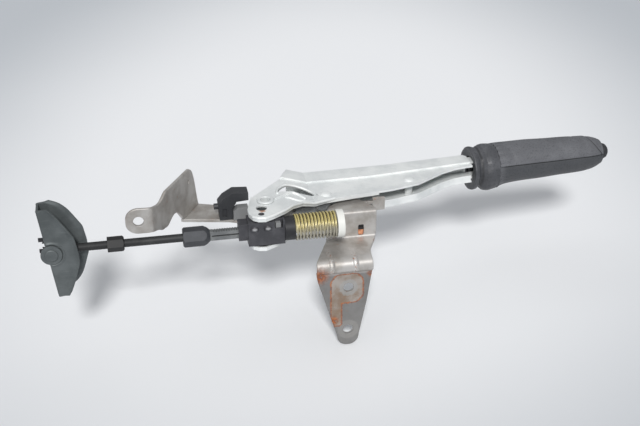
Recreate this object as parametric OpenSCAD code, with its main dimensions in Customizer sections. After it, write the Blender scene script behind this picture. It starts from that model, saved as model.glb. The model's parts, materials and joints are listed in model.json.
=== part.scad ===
// Hand-operated parking brake lever for a car, as it lies on its left side.
// X runs forward to the grip, Y is up in the car, Z is to the right in the car.
// The datum is the upper bolt hole of the front foot, on its mounting face.

/* [Sheet metal] */
// Thickness of the base bracket's steel
sheet = 3; // [2.5:0.5:3.5]
// Outside bend radius of the base bracket
bend_r = 5; // [4:0.5:6]
// Thickness of the lever cheeks
cheek_t = 2; // [1.5:0.25:2.25]
// Thickness of the spine channel
spine_t = 1.6; // [1.2:0.1:2]
// Thickness of the equaliser's steel
yoke_t = 2.5; // [2:0.25:3]

/* [Front foot] */
// Diameter of each foot bolt hole
bolt_d = 10.5; // [8.5:0.5:12]
// Distance between the two foot bolt holes
bolt_pitch = 50; // [44:1:54]
// Radius of the foot's rounded tip
tip_r = 11; // [9.5:0.5:13]
// Distance of the foot's rear corner behind the datum
foot_rear = 33; // [30:1:36]
// Distance of the foot's front corner ahead of the datum
foot_front = 24; // [21:1:28]
// Height of the foot above the datum hole
foot_top = 21; // [18:1:23]
// Height of the tread's top face
tread_z = 34; // [32:1:37]
// Distance of the shelf from the mounting face
shelf_y = 40; // [38.5:0.5:41]
// How far the rolled edge stands proud of the mounting face
roll_proud = 6; // [4:0.5:8]
// Front end of the shelf
shelf_front = 37; // [35:1:39]
// Half width of each stiffening rib
rib_r = 2.4; // [2:0.2:3.2]
// Height of each stiffening rib
rib_h = 1; // [0.6:0.1:1.4]
// Length of each stiffening rib
rib_l = 14; // [10:1:16]
// Length of the slot in the shelf
slot_l = 12; // [9:0.5:14]
// Width of the slot in the shelf
slot_w = 6; // [4:0.5:8]
// Length of the lever's stop tab
stop_l = 13; // [10:1:15]
// Width of the lever's stop tab
stop_w = 14; // [10:1:16]

/* [Rear leg] */
// Distance of the rear bolt hole behind the datum
rear_hole_x = 201; // [198:1:204]
// Height of the rear bolt hole above the datum
rear_hole_z = 95.5; // [93:0.5:98]
// Diameter of the rear bolt hole
rear_hole_d = 10; // [8:0.5:12]
// Radius of the rounded rear foot
rear_foot_r = 13; // [11:0.5:15]
// Angle of the slanting leg to the lever
leg_angle = 60; // [58:0.5:62]
// Distance of the bend between foot and leg behind the datum
leg_x = 188.5; // [187:0.5:190]
// Height of the leg's peak
leg_peak_z = 111; // [108:1:114]
// Radius of the small hole in the leg
leg_hole_r = 2; // [1:0.25:3]

/* [Lever] */
// Height of the lever's middle plane above the datum
mid_z = 62; // [61:0.5:63]
// Outside width over the cheeks along the arm
arm_w = 20; // [19:0.5:22]
// Outside width over the cheeks at the flared nose
nose_w = 36; // [35.5:0.5:39]
// Depth of the turned-in lip of each cheek
lip_d = 4; // [3:0.2:4.2]
// Height of the lever's back at the rear end of the spine
spine_rear_y = 117; // [116.5:0.5:119]
// Height of the lever's back at the grip
spine_front_y = 128; // [127.5:0.5:130]
// Depth of the spine's flanges at the rear end
flange_rear_d = 22; // [18:1:26]
// Depth of the spine's flanges at the grip
flange_front_d = 18; // [14:1:22]
// Distance of the spine's rear end behind the datum
spine_rear = 53; // [50:1:56]
// Gap between the spine's front end and the grip
spine_gap = 6; // [5:0.5:8]
// Height of the joggle in the lever's back
joggle = 1; // [0.5:0.25:1.5]
// Diameter of the lightening hole in the lever's nose
nose_hole_d = 11; // [8:0.5:12]
// Radius of the arched window in each cheek
window_r = 22; // [20:0.5:23]

/* [Pivot and rivets] */
// Distance of the pivot behind the datum
pivot_x = 75; // [74:0.5:76]
// Height of the pivot over the mounting face
pivot_y = 49; // [48:0.5:50]
// Radius of the hollow pivot rivet
pivot_r = 7; // [6:0.25:7.5]
// Radius of the bore through the pivot rivet
pivot_bore_r = 5; // [3:0.25:5.5]
// Radius of the pivot rivet's rolled heads
pivot_head_r = 8.6; // [8.2:0.2:9.4]
// Height of the pivot rivet's rolled heads
pivot_head_h = 1.6; // [1:0.2:2]
// Wall of the spacers on the pivot rivet
spacer_wall = 3; // [2:0.25:3.5]
// Distance of the pawl's rivet ahead of the pivot
pawl_ahead = 65; // [64:0.5:66]
// Height of the pawl's rivet over the pivot
pawl_up = 18.5; // [18:0.25:19]
// Distance of the guide rivet ahead of the pawl's rivet
guide_ahead = 92; // [88:1:96]
// Height of the guide rivet over the pawl's rivet
guide_up = 16.5; // [15:0.5:18]
// Distance of the joggle ahead of the pawl's rivet
joggle_ahead = 83; // [78:1:90]
// Radius of the cross rivets
rivet_r = 4; // [3:0.25:4.5]
// Radius of the cross rivets' domed heads
rivet_head_r = 5.8; // [5:0.2:6.5]
// Height of the cross rivets' domed heads
rivet_head_h = 1.8; // [1.2:0.2:2.2]

/* [Ratchet] */
// Tip radius of the toothed sector
sector_r = 52; // [51:0.25:53]
// Number of teeth on the sector
teeth = 16; // [12:1:20]
// Depth of the sector's teeth
tooth_d = 2.6; // [2:0.2:3]
// Thickness of the sector
sector_t = 3.2; // [2.6:0.1:3.6]
// Radius of the sector's two rivets
sector_rivet_r = 2.5; // [2:0.25:3]
// Thickness of the pawl
pawl_t = 2.6; // [2:0.1:3.2]
// Radius of the pawl's hub
pawl_hub_r = 7; // [6:0.25:7.5]

/* [Grip] */
// Distance of the grip's rear end ahead of the datum
grip_x = 163; // [162:0.5:165]
// Height of the grip's axis at its rear end
grip_y = 123; // [122.5:0.25:123.5]
// Slope of the grip
grip_tilt = 3.6; // [3.4:0.1:3.8]
// Length of the grip
grip_l = 154; // [146:1:160]
// Largest radius of the leather sleeve
sleeve_r = 23; // [21.5:0.25:24]
// Radius of the grip's plastic core
core_r = 17; // [16.5:0.25:17.5]
// Length of the lever's tang inside the grip
tang_l = 42; // [30:1:60]
// Length of the gaiter collar
collar_l = 29; // [26:0.5:32]
// Radius of the gaiter collar's ridges
collar_r = 27; // [25:0.5:29]
// Depth of the groove between the collar's ridges
collar_groove = 3.4; // [2:0.2:4]
// Radius of the release button
button_r = 9; // [7.5:0.25:10]
// How far the button stands out of the grip
button_out = 9; // [7.5:0.5:10]
// Travel of the button
button_travel = 6; // [5:0.5:6.5]
// Radius of the release rod
release_r = 1.5; // [1:0.1:1.7]
// Wire radius of the button's spring
button_wire = 0.6; // [0.4:0.05:0.7]

/* [Adjuster] */
// Height of the pull rod's axis over the mounting face
rod_y = 22; // [21.5:0.25:22.5]
// Distance of the adjuster's swivel behind the datum
swivel_x = 83; // [82:0.5:84]
// Radius of the adjuster's swivel pins
swivel_r = 3; // [2.5:0.25:3.5]
// Distance of the housing's rear end behind the datum
housing_rear = 97; // [96:0.5:98]
// Distance of the housing's front end behind the datum
housing_front = 61; // [60:0.5:62]
// Width of the adjuster housing
housing_w = 25; // [23:0.5:26]
// Height of the adjuster housing
housing_h = 19; // [17:0.5:20]
// Length of the step at the housing's rear end
step_l = 9; // [6:0.5:10]
// Length of the collar at the housing's front end
cap_l = 10; // [8:0.5:11]
// Radius of the collar at the housing's front end
cap_r = 12; // [11:0.25:13]
// Height of the toothed bar
bar_h = 9.6; // [9:0.2:10.4]
// Thickness of the toothed bar
bar_t = 6; // [5:0.25:6.5]
// Gap between the two strips of the bar
bar_gap = 1.6; // [1:0.2:2.4]
// Pitch of the bar's fine teeth
bar_pitch = 2.5; // [2:0.25:3]
// Outside radius of the take-up spring
spring_r = 13.6; // [12.8:0.2:14]
// Wire radius of the take-up spring
wire_r = 1.4; // [1:0.1:1.6]
// Number of turns of the take-up spring
turns = 9; // [7:1:10]
// Length of the take-up spring
spring_l = 42; // [40:0.5:44]
// Length of the spring's end collar
end_collar_l = 7; // [5:0.5:9]
// Radius of the spring's end collar
end_collar_r = 14; // [13:0.25:15]
// Radius of the tie rod
tie_r = 4; // [3.5:0.25:4.5]
// Width across the flats of the coupling nut
coupler_af = 17; // [16:0.5:18]
// Length of the coupling nut
coupler_l = 26; // [23:1:28]
// Distance of the coupling nut's front end behind the datum
coupler_x = 134; // [132:1:136]
// Width across the flats of the lock nut
nut_af = 13; // [12:0.5:14]
// Length of the lock nut
nut_l = 16; // [14:0.5:18]
// Distance of the lock nut's middle behind the datum
nut_x = 224; // [220:1:228]

/* [Equaliser] */
// Distance of the equaliser's trunnion behind the datum
trunnion_x = 284; // [281:1:287]
// Radius of the trunnion
trunnion_r = 6.2; // [5.6:0.2:7]
// Radius of the trunnion's flange
flange_r = 10; // [9:0.25:10.5]
// Half length of the equaliser
yoke_half = 47; // [45:1:50]
// Width over the equaliser's plates
yoke_w = 19; // [18:0.5:20]
// Depth of the equaliser at its ends
yoke_end = 12.5; // [11.5:0.5:14]
// Depth of the equaliser in the middle
yoke_mid = 28; // [26:0.5:30]
// Distance of the equaliser's back from the trunnion
yoke_back = 4; // [3.5:0.25:5]
// Lean of the equaliser at rest
yoke_lean = 7; // [5:0.5:9]
// Radius of each cable hole
cable_r = 3.2; // [2.6:0.1:3.6]
// Distance of each cable hole from the trunnion
cable_z = 38; // [36:0.5:40]

/* [Switch] */
// Distance of the switch's rear face behind the datum
switch_rear = 121; // [120:0.5:122]
// Length of the switch's column
switch_l = 13; // [12:0.25:14]
// Depth of the switch's body
switch_d = 14; // [12:0.5:15]
// Height of the switch over the base plate
switch_h = 28; // [27:0.5:30]
// Length of the switch's hooked top
hook_l = 29; // [26:0.5:29.5]
// Distance of the switch's lower side from the mounting face
switch_y = 47; // [46.5:0.5:48]
// Height of the switch plunger
plunger_h = 13; // [11.5:0.5:13.5]
// Depth of the switch plunger
plunger_d = 9; // [7:0.5:10]

/* [Clearances] */
// Radial clearance of the running fits
fit = 0.05; // [0.02:0.01:0.09]
// Side and end clearance of moving pieces
play = 0.4; // [0.3:0.05:0.5]

/* [Hidden] */
$fn = 48;
over = 1;
far = 400;
hex_k = 1 / cos(30);
base_z = mid_z - sheet / 2;
base_top = mid_z + sheet / 2;
arm_out = arm_w / 2;
arm_in = arm_out - cheek_t;
nose_out = nose_w / 2;
nose_in = nose_out - cheek_t;
pivot = [-pivot_x, pivot_y];
swivel = [-swivel_x, rod_y];
flare_rear = pivot[0] + 25;
flare_front = pivot[0] + 50;
flare = [[-far, nose_out], [flare_rear, nose_out], [flare_front, arm_out], [far, arm_out]];
pawl_pin = pivot + [pawl_ahead, pawl_up];
guide_rivet = pawl_pin + [guide_ahead, guide_up];
leg_dir = [cos(leg_angle), sin(leg_angle)];
leg_side = sheet * [-sin(leg_angle), cos(leg_angle)];
leg_foot = [-leg_x, 0];
leg_low = leg_foot + 65 * leg_dir;
leg_high = leg_low + 36 * leg_dir;
foot_join = [-12, shelf_y + bend_r + 1];
sector_root = sector_r - tooth_d;
sector_a = [-9, 43];
rivet_a = [4, 30];
rivet_circle = sector_r - 15;
pawl_tip = pivot + (sector_r + play) * [cos(2), -sin(2)];
spine_front = grip_x - spine_gap;
slope = tan(grip_tilt);
release_end = pawl_pin[0] + 17;
release_y = grip_y + (release_end - grip_x) * slope;
housing_y = rod_y - housing_h * 0.42;
passage_h = bar_h + 2 * play;
passage_t = bar_t + 2 * play;
wedge_z = mid_z + passage_h / 2;
cap_front = -housing_front + cap_l;
collar_rear = cap_front + spring_l;
bar_front = collar_rear + end_collar_l;
bar_rear = -coupler_x - 4;
switch_top = base_top + switch_h;
switch_front = -switch_rear + switch_l;
nose_rear = pivot + [-20, -15];
nose_back = pivot + [-14, 8];
nose_lean = (nose_back[0] - nose_rear[0]) / (nose_back[1] - nose_rear[1]);
plunger_y = pivot[1] - 5;
plunger_tip = nose_rear[0] + (plunger_y - nose_rear[1]) * nose_lean;
front_edge = [pawl_pin + [-28, -22.5], pawl_pin + [-3, -13], pawl_pin + [29, -7.8], pawl_pin + [51, -5.2],
  pawl_pin + [70, -2.5], pawl_pin + [100, 5.5]];
joggle_x = pawl_pin[0] + joggle_ahead;

// Flat blank in the lever plane, from height z0 upward
module blank(z0, t) {
  translate([0, 0, z0]) linear_extrude(t) children();
}

// Flat blank facing the mounting plane, from distance y0 upward
module standing(y0, t) {
  translate([0, y0 + t, 0]) rotate([90, 0, 0]) linear_extrude(t) children();
}

// Sheet of constant thickness just inside the edge of a region, with rounded bends
module skin(t, r) {
  difference() {
    offset(r = r, $fn = 32) offset(delta = -r) children();
    offset(delta = -t) offset(r = r, $fn = 32) offset(delta = -r) children();
  }
}

// Round pin or hole along Z at a point of the lever plane
module pin_z(p, r, z0, z1) {
  translate([p[0], p[1], z0]) cylinder(r = r, h = z1 - z0);
}

// Round pin or hole along Y at a point of the mounting plane
module pin_y(x, z, r, y0, y1) {
  translate([x, y0, z]) rotate([-90, 0, 0]) cylinder(r = r, h = y1 - y0);
}

// Round pin or hole along the pull rod's axis
module rod_x(r, x0, x1) {
  translate([x0, rod_y, mid_z]) rotate([0, 90, 0]) cylinder(r = r, h = x1 - x0);
}

// Flat bar along the pull rod's axis
module flat_x(x0, x1, t, h, z = 0) {
  translate([x0, rod_y - t / 2, mid_z + z - h / 2]) cube([x1 - x0, t, h]);
}

// Moves children to the grip's own axis, X along the grip
module grip_frame() {
  translate([grip_x, grip_y, mid_z]) rotate([0, 0, grip_tilt]) children();
}

// Turned shape about X, from a profile of [length, radius] points
module turned(profile) {
  rotate([0, 90, 0]) rotate_extrude($fn = 64) polygon([for (p = profile) [p[1], p[0]]]);
}

// Round wire wound into a coil along X
module coil(r, wire, length, n, steps, sides) {
  count = n * steps;
  run = length - 2 * wire;
  points = [for (i = [0 : count]) for (j = [0 : sides - 1])
    let (a = 360 * i / steps, b = 360 * j / sides, q = r + wire * cos(b))
      [wire + run * i / count + wire * sin(b), q * cos(a), q * sin(a)]];
  skin_faces = [for (i = [0 : count - 1]) for (j = [0 : sides - 1])
    let (k = (j + 1) % sides, at = i * sides, next = at + sides) [at + j, at + k, next + k, next + j]];
  first_cap = [for (j = [sides - 1 : -1 : 0]) j];
  last_cap = [for (j = [0 : sides - 1]) count * sides + j];
  polyhedron(points, concat(skin_faces, [first_cap, last_cap]));
}

// Outline of the base plate in the lever plane
module base_outline() {
  boss_r = pivot_r + 4;
  polygon([leg_low + leg_side, leg_low, leg_low + [44, -9], pivot + [-21, -9], pivot + [-4, -9],
    pivot + [25, -9], [foot_join[0] - 3, shelf_y], foot_join, [shelf_front, foot_join[1]], [shelf_front - 6, shelf_y + 16], [shelf_front - 17, shelf_y + 32],
    pawl_pin + [12, -1.5], pawl_pin + [4, -9.5], pawl_pin + [-12, -9.5], pivot + [33, 28],
    pivot + [0, 21], pivot + [-15, 23], pivot + [-43, 31], leg_high,
    leg_high + leg_side]);
  translate(pivot) circle(r = boss_r);
  intersection() {
    translate(pivot) circle(r = sector_root - 5);
    translate(pivot) polygon([[0, -9], [far, -9], [far, 0.8 * far], [0, 21]]);
  }
}

// Shelf, tread, rolled edge and foot, seen along X as [distance, height]
module foot_profile() {
  polygon([[far, base_top], [shelf_y, base_top], [shelf_y, tread_z], [8 - roll_proud, tread_z],
    [2.4 - roll_proud, tread_z - 2], [-roll_proud, tread_z - 7], [-roll_proud, foot_top],
    [0, foot_top - 3], [0, -far], [far, -far]]);
}

// Raised rib over the rolled edge, seen along X
module roll_rib() {
  intersection() {
    skin(sheet, bend_r) offset(delta = rib_h) foot_profile();
    translate([-roll_proud - rib_h, tread_z + rib_h - rib_l]) square([roll_proud + 2 * rib_h, rib_l]);
  }
}

// Outline of the front foot, seen along Y
module foot_outline() {
  tip_z = -bolt_pitch - tip_r + 3;
  polygon([[-foot_rear, far], [shelf_front, far], [shelf_front, tread_z + 3], [foot_front, foot_top - 3],
    [tip_r + 8, -bolt_pitch / 3], [tip_r, tip_z], [-tip_r, tip_z], [2 - foot_rear, foot_top - 13],
    [-foot_rear, foot_top - 1]]);
  translate([0, tip_z]) circle(r = tip_r);
}

module front_foot() {
  depth = foot_join[1] + roll_proud + over;
  slot_z = tread_z + 2;
  slot_x = shelf_front - 16;
  color("#857c74") {
    difference() {
    intersection() {
      translate([-far / 2, 0, 0]) rotate([90, 0, 90]) linear_extrude(far) skin(sheet, bend_r) foot_profile();
      standing(-roll_proud - over, depth) foot_outline();
      translate([-far / 2, -far / 2, -far / 2]) cube([far, far, far / 2 + base_top]);
    }
    blank(foot_top + 4, far)
      polygon([[-far, far], [foot_join[0], far], foot_join, [-foot_rear - over, 0], [-far, 0]]);
    translate([slot_x - slot_w / 2, shelf_y - over, slot_z]) cube([slot_w, sheet + 2 * over, slot_l]);
    for (k = [0, 1]) pin_y(0, -k * bolt_pitch, bolt_d / 2, -over, sheet + over);
  }
    for (x = [-18, 6]) translate([x - rib_r, 0, 0]) rotate([90, 0, 90]) linear_extrude(2 * rib_r) roll_rib();
  }
}

// Rear foot and slanting leg, seen along Z
module leg_profile() {
  polygon([[-far, 0], leg_foot, leg_foot + far * leg_dir, [-far, far]]);
}

// Outline of the rear foot and leg, seen along Y
module leg_outline() {
  low = leg_low[0];
  top = leg_high[0];
  translate([-rear_hole_x, rear_hole_z]) circle(r = rear_foot_r);
  polygon([[-rear_hole_x, rear_hole_z - rear_foot_r], [-leg_x, rear_hole_z - rear_foot_r],
    [low - 23, rear_hole_z - 22], [low - 16, rear_hole_z - 23], [low - 12, rear_hole_z - 17],
    [low - 6, rear_hole_z - 17], [low, base_top], [top, base_top], [top - 2.5, leg_peak_z - 14],
    [top - 8, leg_peak_z - 1], [low - 17, leg_peak_z], [low - 23, rear_hole_z + 8],
    [-leg_x, rear_hole_z + rear_foot_r - 1], [-rear_hole_x, rear_hole_z + rear_foot_r]]);
}

module rear_leg() {
  hole_at = leg_low + 15 * leg_dir;
  color("#857c74") difference() {
    intersection() {
      blank(base_z, far) skin(sheet, bend_r) leg_profile();
      standing(-over, leg_high[1] + over) leg_outline();
    }
    pin_y(-rear_hole_x, rear_hole_z, rear_hole_d / 2, -over, sheet + over);
    translate([hole_at[0], hole_at[1], leg_peak_z - 13]) rotate([0, 90, leg_angle - 90])
      cylinder(r = leg_hole_r, h = 4 * sheet, center = true);
  }
}

module base_plate() {
  stop_top = front_edge[3][1] - 2 * play;
  color("#857c74") {
    difference() {
      blank(base_z, sheet) base_outline();
      pin_z(pivot, pivot_r, base_z - over, base_top + over);
      for (a = rivet_a)
        pin_z(pivot + rivet_circle * [cos(a), sin(a)], sector_rivet_r, base_z - over, base_top + over);
    }
    translate([shelf_front, stop_top - sheet, mid_z - stop_w / 2 - 2]) cube([stop_l, sheet, stop_w]);
    translate([shelf_front - 14, stop_top - sheet, base_z]) cube([14 + over, sheet, sheet]);
  }
}

module toothed_sector() {
  step = (sector_a[1] - sector_a[0]) / teeth;
  inner_r = sector_r - 22;
  saw = [for (i = [0 : teeth - 1]) for (k = [0, 1])
    let (a = sector_a[0] + (i + k * 0.75) * step, r = sector_root + k * tooth_d) r * [cos(a), sin(a)]];
  end = [sector_root * [cos(sector_a[1]), sin(sector_a[1])]];
  inner = [for (i = [teeth : -1 : 0]) let (a = sector_a[0] + i * step) inner_r * [cos(a), sin(a)]];
  color("#9c9a94") difference() {
    blank(base_top, sector_t) translate(pivot) polygon(concat(saw, end, inner));
    for (a = rivet_a) pin_z(pivot + rivet_circle * [cos(a), sin(a)], sector_rivet_r, base_top - over,
      base_top + sector_t + over);
  }
}

module sector_rivets() {
  head_h = 1.2;
  color("#8d8a85") for (a = rivet_a) translate(pivot + rivet_circle * [cos(a), sin(a)]) {
    translate([0, 0, base_z]) cylinder(r = sector_rivet_r, h = sheet + sector_t);
    translate([0, 0, base_z - head_h]) cylinder(r = sector_rivet_r + 1.5, h = head_h);
  }
}

module pivot_rivet() {
  inside = nose_out + play;
  outside = inside + pivot_head_h;
  roll = 0.6;
  half = [[pivot_r, inside], [pivot_head_r, inside], [pivot_head_r, outside - roll],
    [pivot_head_r - roll, outside], [pivot_bore_r + roll, outside], [pivot_bore_r, outside - roll]];
  color("#b9bbb8") translate([pivot[0], pivot[1], mid_z]) rotate_extrude($fn = 64)
    polygon(concat(half, [for (i = [len(half) - 1 : -1 : 0]) [half[i][0], -half[i][1]]]));
}

module pivot_spacers() {
  color("#a3a4a1") for (side = [0, 1]) translate([0, 0, mid_z]) mirror([0, 0, side]) difference() {
    pin_z(pivot, pivot_r + spacer_wall, sheet / 2, nose_in - play);
    pin_z(pivot, pivot_r, sheet / 2 - over, nose_in);
  }
}

// Side shape of the switch: column, shoulder and hooked top
module switch_shape() {
  x0 = -switch_rear;
  x1 = switch_front;
  tip = x0 + hook_l;
  under = switch_top - 8;
  polygon([[x0, base_top], [x1, base_top], [x1, under - 9], [x1 + 4, under - 1], [tip, under], [tip, switch_top],
    [x0 + 14, switch_top + 1], [x0 + 4, switch_top - 5], [x0 - 1, under - 3]]);
}

module switch_body() {
  x0 = -switch_rear;
  peg_l = 5;
  groove = 2;
  color("#2b2b2d") {
    difference() {
      standing(switch_y, switch_d) switch_shape();
      translate([x0 + 3, switch_y - over, base_top + 3]) cube([switch_l / 3, groove + over, switch_h / 3]);
    }
    translate([x0 - peg_l, switch_y + switch_d / 2, base_top + switch_h * 0.45]) rotate([0, 90, 0])
      cylinder(r = 3, h = peg_l + over);
  }
}

module switch_plunger() {
  tip = plunger_tip - play;
  rear = switch_front + play;
  z0 = base_top + play;
  step = 4;
  color("#77797a") standing(plunger_y, plunger_d) polygon([[rear, z0], [tip - step, z0], [tip, z0 + step],
    [tip, z0 + plunger_h], [rear + step, z0 + plunger_h], [rear, z0 + plunger_h - step]]);
}

// Outline of one lever cheek, nose at the rear and tang at the front
module cheek_outline() {
  nose = [nose_back, nose_rear, nose_rear + [0, -9], pivot + [-17, -32], pivot + [-12, -36],
    pivot + [-5, -37], pivot + [4, -32], pivot + [17, -23]];
  tang_x = grip_x + tang_l * cos(grip_tilt);
  tang_y = grip_y + tang_l * sin(grip_tilt);
  neck_x = grip_x - 5;
  neck_y = grip_y - 5 * slope;
  back_drop = spine_t + play;
  polygon(concat(nose, front_edge, [[neck_x - 37, neck_y - 30], [neck_x - 21, neck_y - 23], [neck_x - 6, neck_y - 20],
    [neck_x, neck_y - 19.5], [neck_x, neck_y - 10.5], [tang_x, tang_y - 10.5], [tang_x, tang_y + 4],
    [spine_front, spine_front_y - back_drop - 1.6], [joggle_x, spine_rear_y + 4 - joggle - back_drop],
    [-spine_rear + 11, spine_rear_y - back_drop], [-spine_rear, spine_rear_y - flange_rear_d],
    pivot + [7, 30]]));
}

// Bent strip that one cheek is cut from: flared at the nose, straight along the arm
module ribbon(t) {
  standing(-over, far / 2) polygon(concat(flare, [for (i = [3 : -1 : 0]) flare[i] - [0, t]]));
}

// Space between the two cheeks, widened by d on each side
module between(d) {
  side = [for (q = flare) q + [0, d]];
  standing(-over, far / 2) polygon(concat(side, [for (i = [3 : -1 : 0]) [side[i][0], -side[i][1]]]));
}

// Band along the nose and front edge that is turned in as a lip
module lip_band() {
  end_x = front_edge[3][0] + 4;
  intersection() {
    difference() {
      cheek_outline();
      offset(delta = -cheek_t) cheek_outline();
    }
    polygon([[nose_rear[0] - over, nose_back[1]], [nose_rear[0] - over, 0], [end_x, 0], [end_x, pivot[1] + 21],
      [pivot[0] + 15, pivot[1] + 21], [pivot[0] - 5, nose_back[1]]]);
  }
}

// One lever cheek, over the middle plane at height zero
module cheek() {
  difference() {
    union() {
      intersection() {
        ribbon(cheek_t);
        blank(0, nose_out + over) cheek_outline();
      }
      intersection() {
        ribbon(lip_d);
        blank(0, nose_out + over) lip_band();
      }
    }
    pin_z(pivot, pivot_r + fit, 0, nose_out + over);
    pin_z(swivel, swivel_r + fit, 0, nose_out + over);
    pin_z(pivot + [-6, -14.5], nose_hole_d / 2, 0, nose_out + over);
    for (p = [pawl_pin, guide_rivet]) pin_z(p, rivet_r, 0, nose_out + over);
    blank(0, nose_out + over) translate(pivot + [36, 11]) intersection() {
      circle(r = window_r);
      translate([-window_r, 6]) square([2 * window_r, window_r]);
    }
  }
}

module cheek_right() {
  color("#c9cccb") translate([0, 0, mid_z]) cheek();
}

module cheek_left() {
  color("#c9cccb") translate([0, 0, mid_z]) mirror([0, 0, 1]) cheek();
}

// Outline of the spine channel in the lever plane, lowered by d
module spine_outline(d) {
  back_y = spine_rear_y + 4;
  end_x = spine_front + (d > 0 ? over : 0);
  rear_x = -spine_rear - (d > 0 ? 2 * over : 0);
  polygon([[rear_x - d, spine_rear_y - flange_rear_d - d], [rear_x + 10, spine_rear_y - d],
    [joggle_x, back_y - joggle / 2 - d], [joggle_x + 2, back_y + joggle / 2 - d], [spine_front - 3, spine_front_y - d],
    [end_x, spine_front_y - 3 - d], [end_x, spine_front_y - flange_front_d - d],
    [joggle_x - 30, back_y - flange_rear_d - 2 - d]]);
}

module spine_channel() {
  depth = flange_rear_d - 4;
  color("#d3d6d6") translate([0, 0, mid_z]) difference() {
    intersection() {
      between(spine_t);
      blank(-nose_w, 2 * nose_w) spine_outline(0);
    }
    intersection() {
      between(0);
      blank(-nose_w, 2 * nose_w) {
        spine_outline(spine_t);
        spine_outline(depth / 2);
        spine_outline(depth);
      }
    }
  }
}

module cross_rivets() {
  rim = 0.4;
  half = [[rivet_r, arm_out], [rivet_head_r, arm_out], [rivet_head_r, arm_out + rim],
    [rivet_head_r * 0.7, arm_out + rivet_head_h * 0.8], [rivet_head_r * 0.35, arm_out + rivet_head_h],
    [0, arm_out + rivet_head_h]];
  color("#b4b7b6") for (p = [pawl_pin, guide_rivet]) translate([p[0], p[1], mid_z]) rotate_extrude($fn = 48)
    polygon(concat(half, [for (i = [len(half) - 1 : -1 : 0]) [half[i][0], -half[i][1]]]));
}

module grip_core() {
  end = grip_l - 2;
  bore_x = grip_l - 14;
  spring_bore = 22;
  color("#1f2022") grip_frame() difference() {
    turned([[0, 0], [0, core_r], [grip_l - 12, core_r], [end, core_r - 3], [end, 0]]);
    translate([-over, -10.5, -arm_out]) cube([tang_l + over, 14.5, arm_w]);
    rotate([0, 90, 0]) cylinder(r = release_r + play, h = grip_l);
    translate([bore_x - spring_bore, 0, 0]) rotate([0, 90, 0]) cylinder(r = button_r - 2, h = spring_bore + over);
    translate([bore_x, 0, 0]) rotate([0, 90, 0]) cylinder(r = button_r + play, h = grip_l);
  }
}

module grip_sleeve() {
  seam = collar_l - 4;
  mouth = button_r + 2;
  end = grip_l - 2;
  color("#2a2a2b") grip_frame() turned([[seam, core_r], [seam, sleeve_r - 1], [seam + 10, sleeve_r],
    [grip_l * 0.42, sleeve_r - 1], [grip_l * 0.68, sleeve_r - 2.4], [grip_l - 20, sleeve_r - 3.4],
    [grip_l - 9, sleeve_r - 4.6], [grip_l - 3, sleeve_r - 7.6], [grip_l + 1, mouth + 1.6],
    [grip_l + 1, mouth], [end, mouth], [end, core_r - 3], [grip_l - 12, core_r]]);
}

module gaiter_collar() {
  seam = collar_l - 4;
  groove = collar_r - collar_groove;
  half = collar_l / 2;
  color("#29292a") grip_frame() turned([[0, core_r], [-4, collar_r - 6], [-3, collar_r - 2], [-1, collar_r - 0.4],
    [1.5, collar_r], [4.5, collar_r - 0.8], [half - 6, groove], [half - 2.5, groove], [half + 1, collar_r - 1],
    [half + 4, collar_r - 0.8], [seam - 2, sleeve_r], [seam, sleeve_r - 1.6], [seam, core_r]]);
}

module release_button() {
  rear = grip_l - 14 + button_travel;
  tip = grip_l + button_out;
  color("#161617") grip_frame() turned([[rear, 0], [rear, button_r], [tip - 6, button_r],
    [tip - 3, button_r - 1.2], [tip - 1, button_r - 3.6], [tip, button_r - 7], [tip, 0]]);
}

module release_rod() {
  start = (release_end - grip_x) / cos(grip_tilt);
  rear = grip_l - 14 + button_travel;
  color("#a9aaa8") grip_frame() translate([start, 0, 0]) rotate([0, 90, 0]) cylinder(r = release_r, h = rear - start);
}

module button_spring() {
  start = grip_l - 36;
  rear = grip_l - 14 + button_travel;
  coil_r = (button_r - 2 + release_r) / 2;
  color("#8f9190") grip_frame() translate([start, 0, 0]) coil(coil_r, button_wire, rear - start, 6, 12, 6);
}

module pawl() {
  z0 = base_top + play;
  hip = pawl_pin + [-6, 3];
  color("#8b8883") difference() {
    union() {
      pin_z(pawl_pin, pawl_hub_r, z0, z0 + pawl_t);
      blank(z0, pawl_t) {
        polygon([pawl_tip, pawl_tip + [3.6, -5], pawl_tip + [9, -1], pawl_pin + [6.4, -2], hip]);
        polygon([hip, pawl_pin + [6.4, 2], [release_end - 4, release_y - 8], [release_end - play, release_y - 4],
          [release_end - play, release_y + 1], [release_end - 6, release_y + 1]]);
      }
    }
    pin_z(pawl_pin, rivet_r + fit, z0 - over, z0 + pawl_t + over);
  }
}

module adjuster_housing() {
  low = mid_z - housing_w / 2;
  lance_r = 4;
  lance_h = 2.4;
  color("#4b4c4f") difference() {
    union() {
      translate([-housing_rear, housing_y, low]) cube([housing_rear - housing_front, housing_h, housing_w]);
      translate([-housing_rear - step_l, housing_y + 3, mid_z - 7]) cube([step_l + over, housing_h - 6, housing_w / 2 + 5]);
      pin_z(swivel, swivel_r, mid_z - nose_out, mid_z + nose_out);
      for (side = [0, 1]) translate([0, 0, mid_z]) mirror([0, 0, side])
        pin_z(swivel, swivel_r + 1.5, housing_w / 2 - over, nose_in - play);
      for (x = [6, 19]) translate([-housing_rear + x, housing_y, mid_z + 5]) intersection() {
        cylinder(r = lance_r, h = lance_h);
        translate([-lance_r, -lance_h, 0]) cube([2 * lance_r, 2 * lance_h, lance_h]);
      }
    }
    flat_x(-far, far, passage_t, passage_h);
    translate([-housing_front - 10, housing_y - over, wedge_z]) cube([8, 6 + over, housing_w]);
  }
}

module housing_cap() {
  color("#343538") difference() {
    rod_x(cap_r, -housing_front, cap_front);
    flat_x(-far, far, passage_t, passage_h);
  }
}

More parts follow.
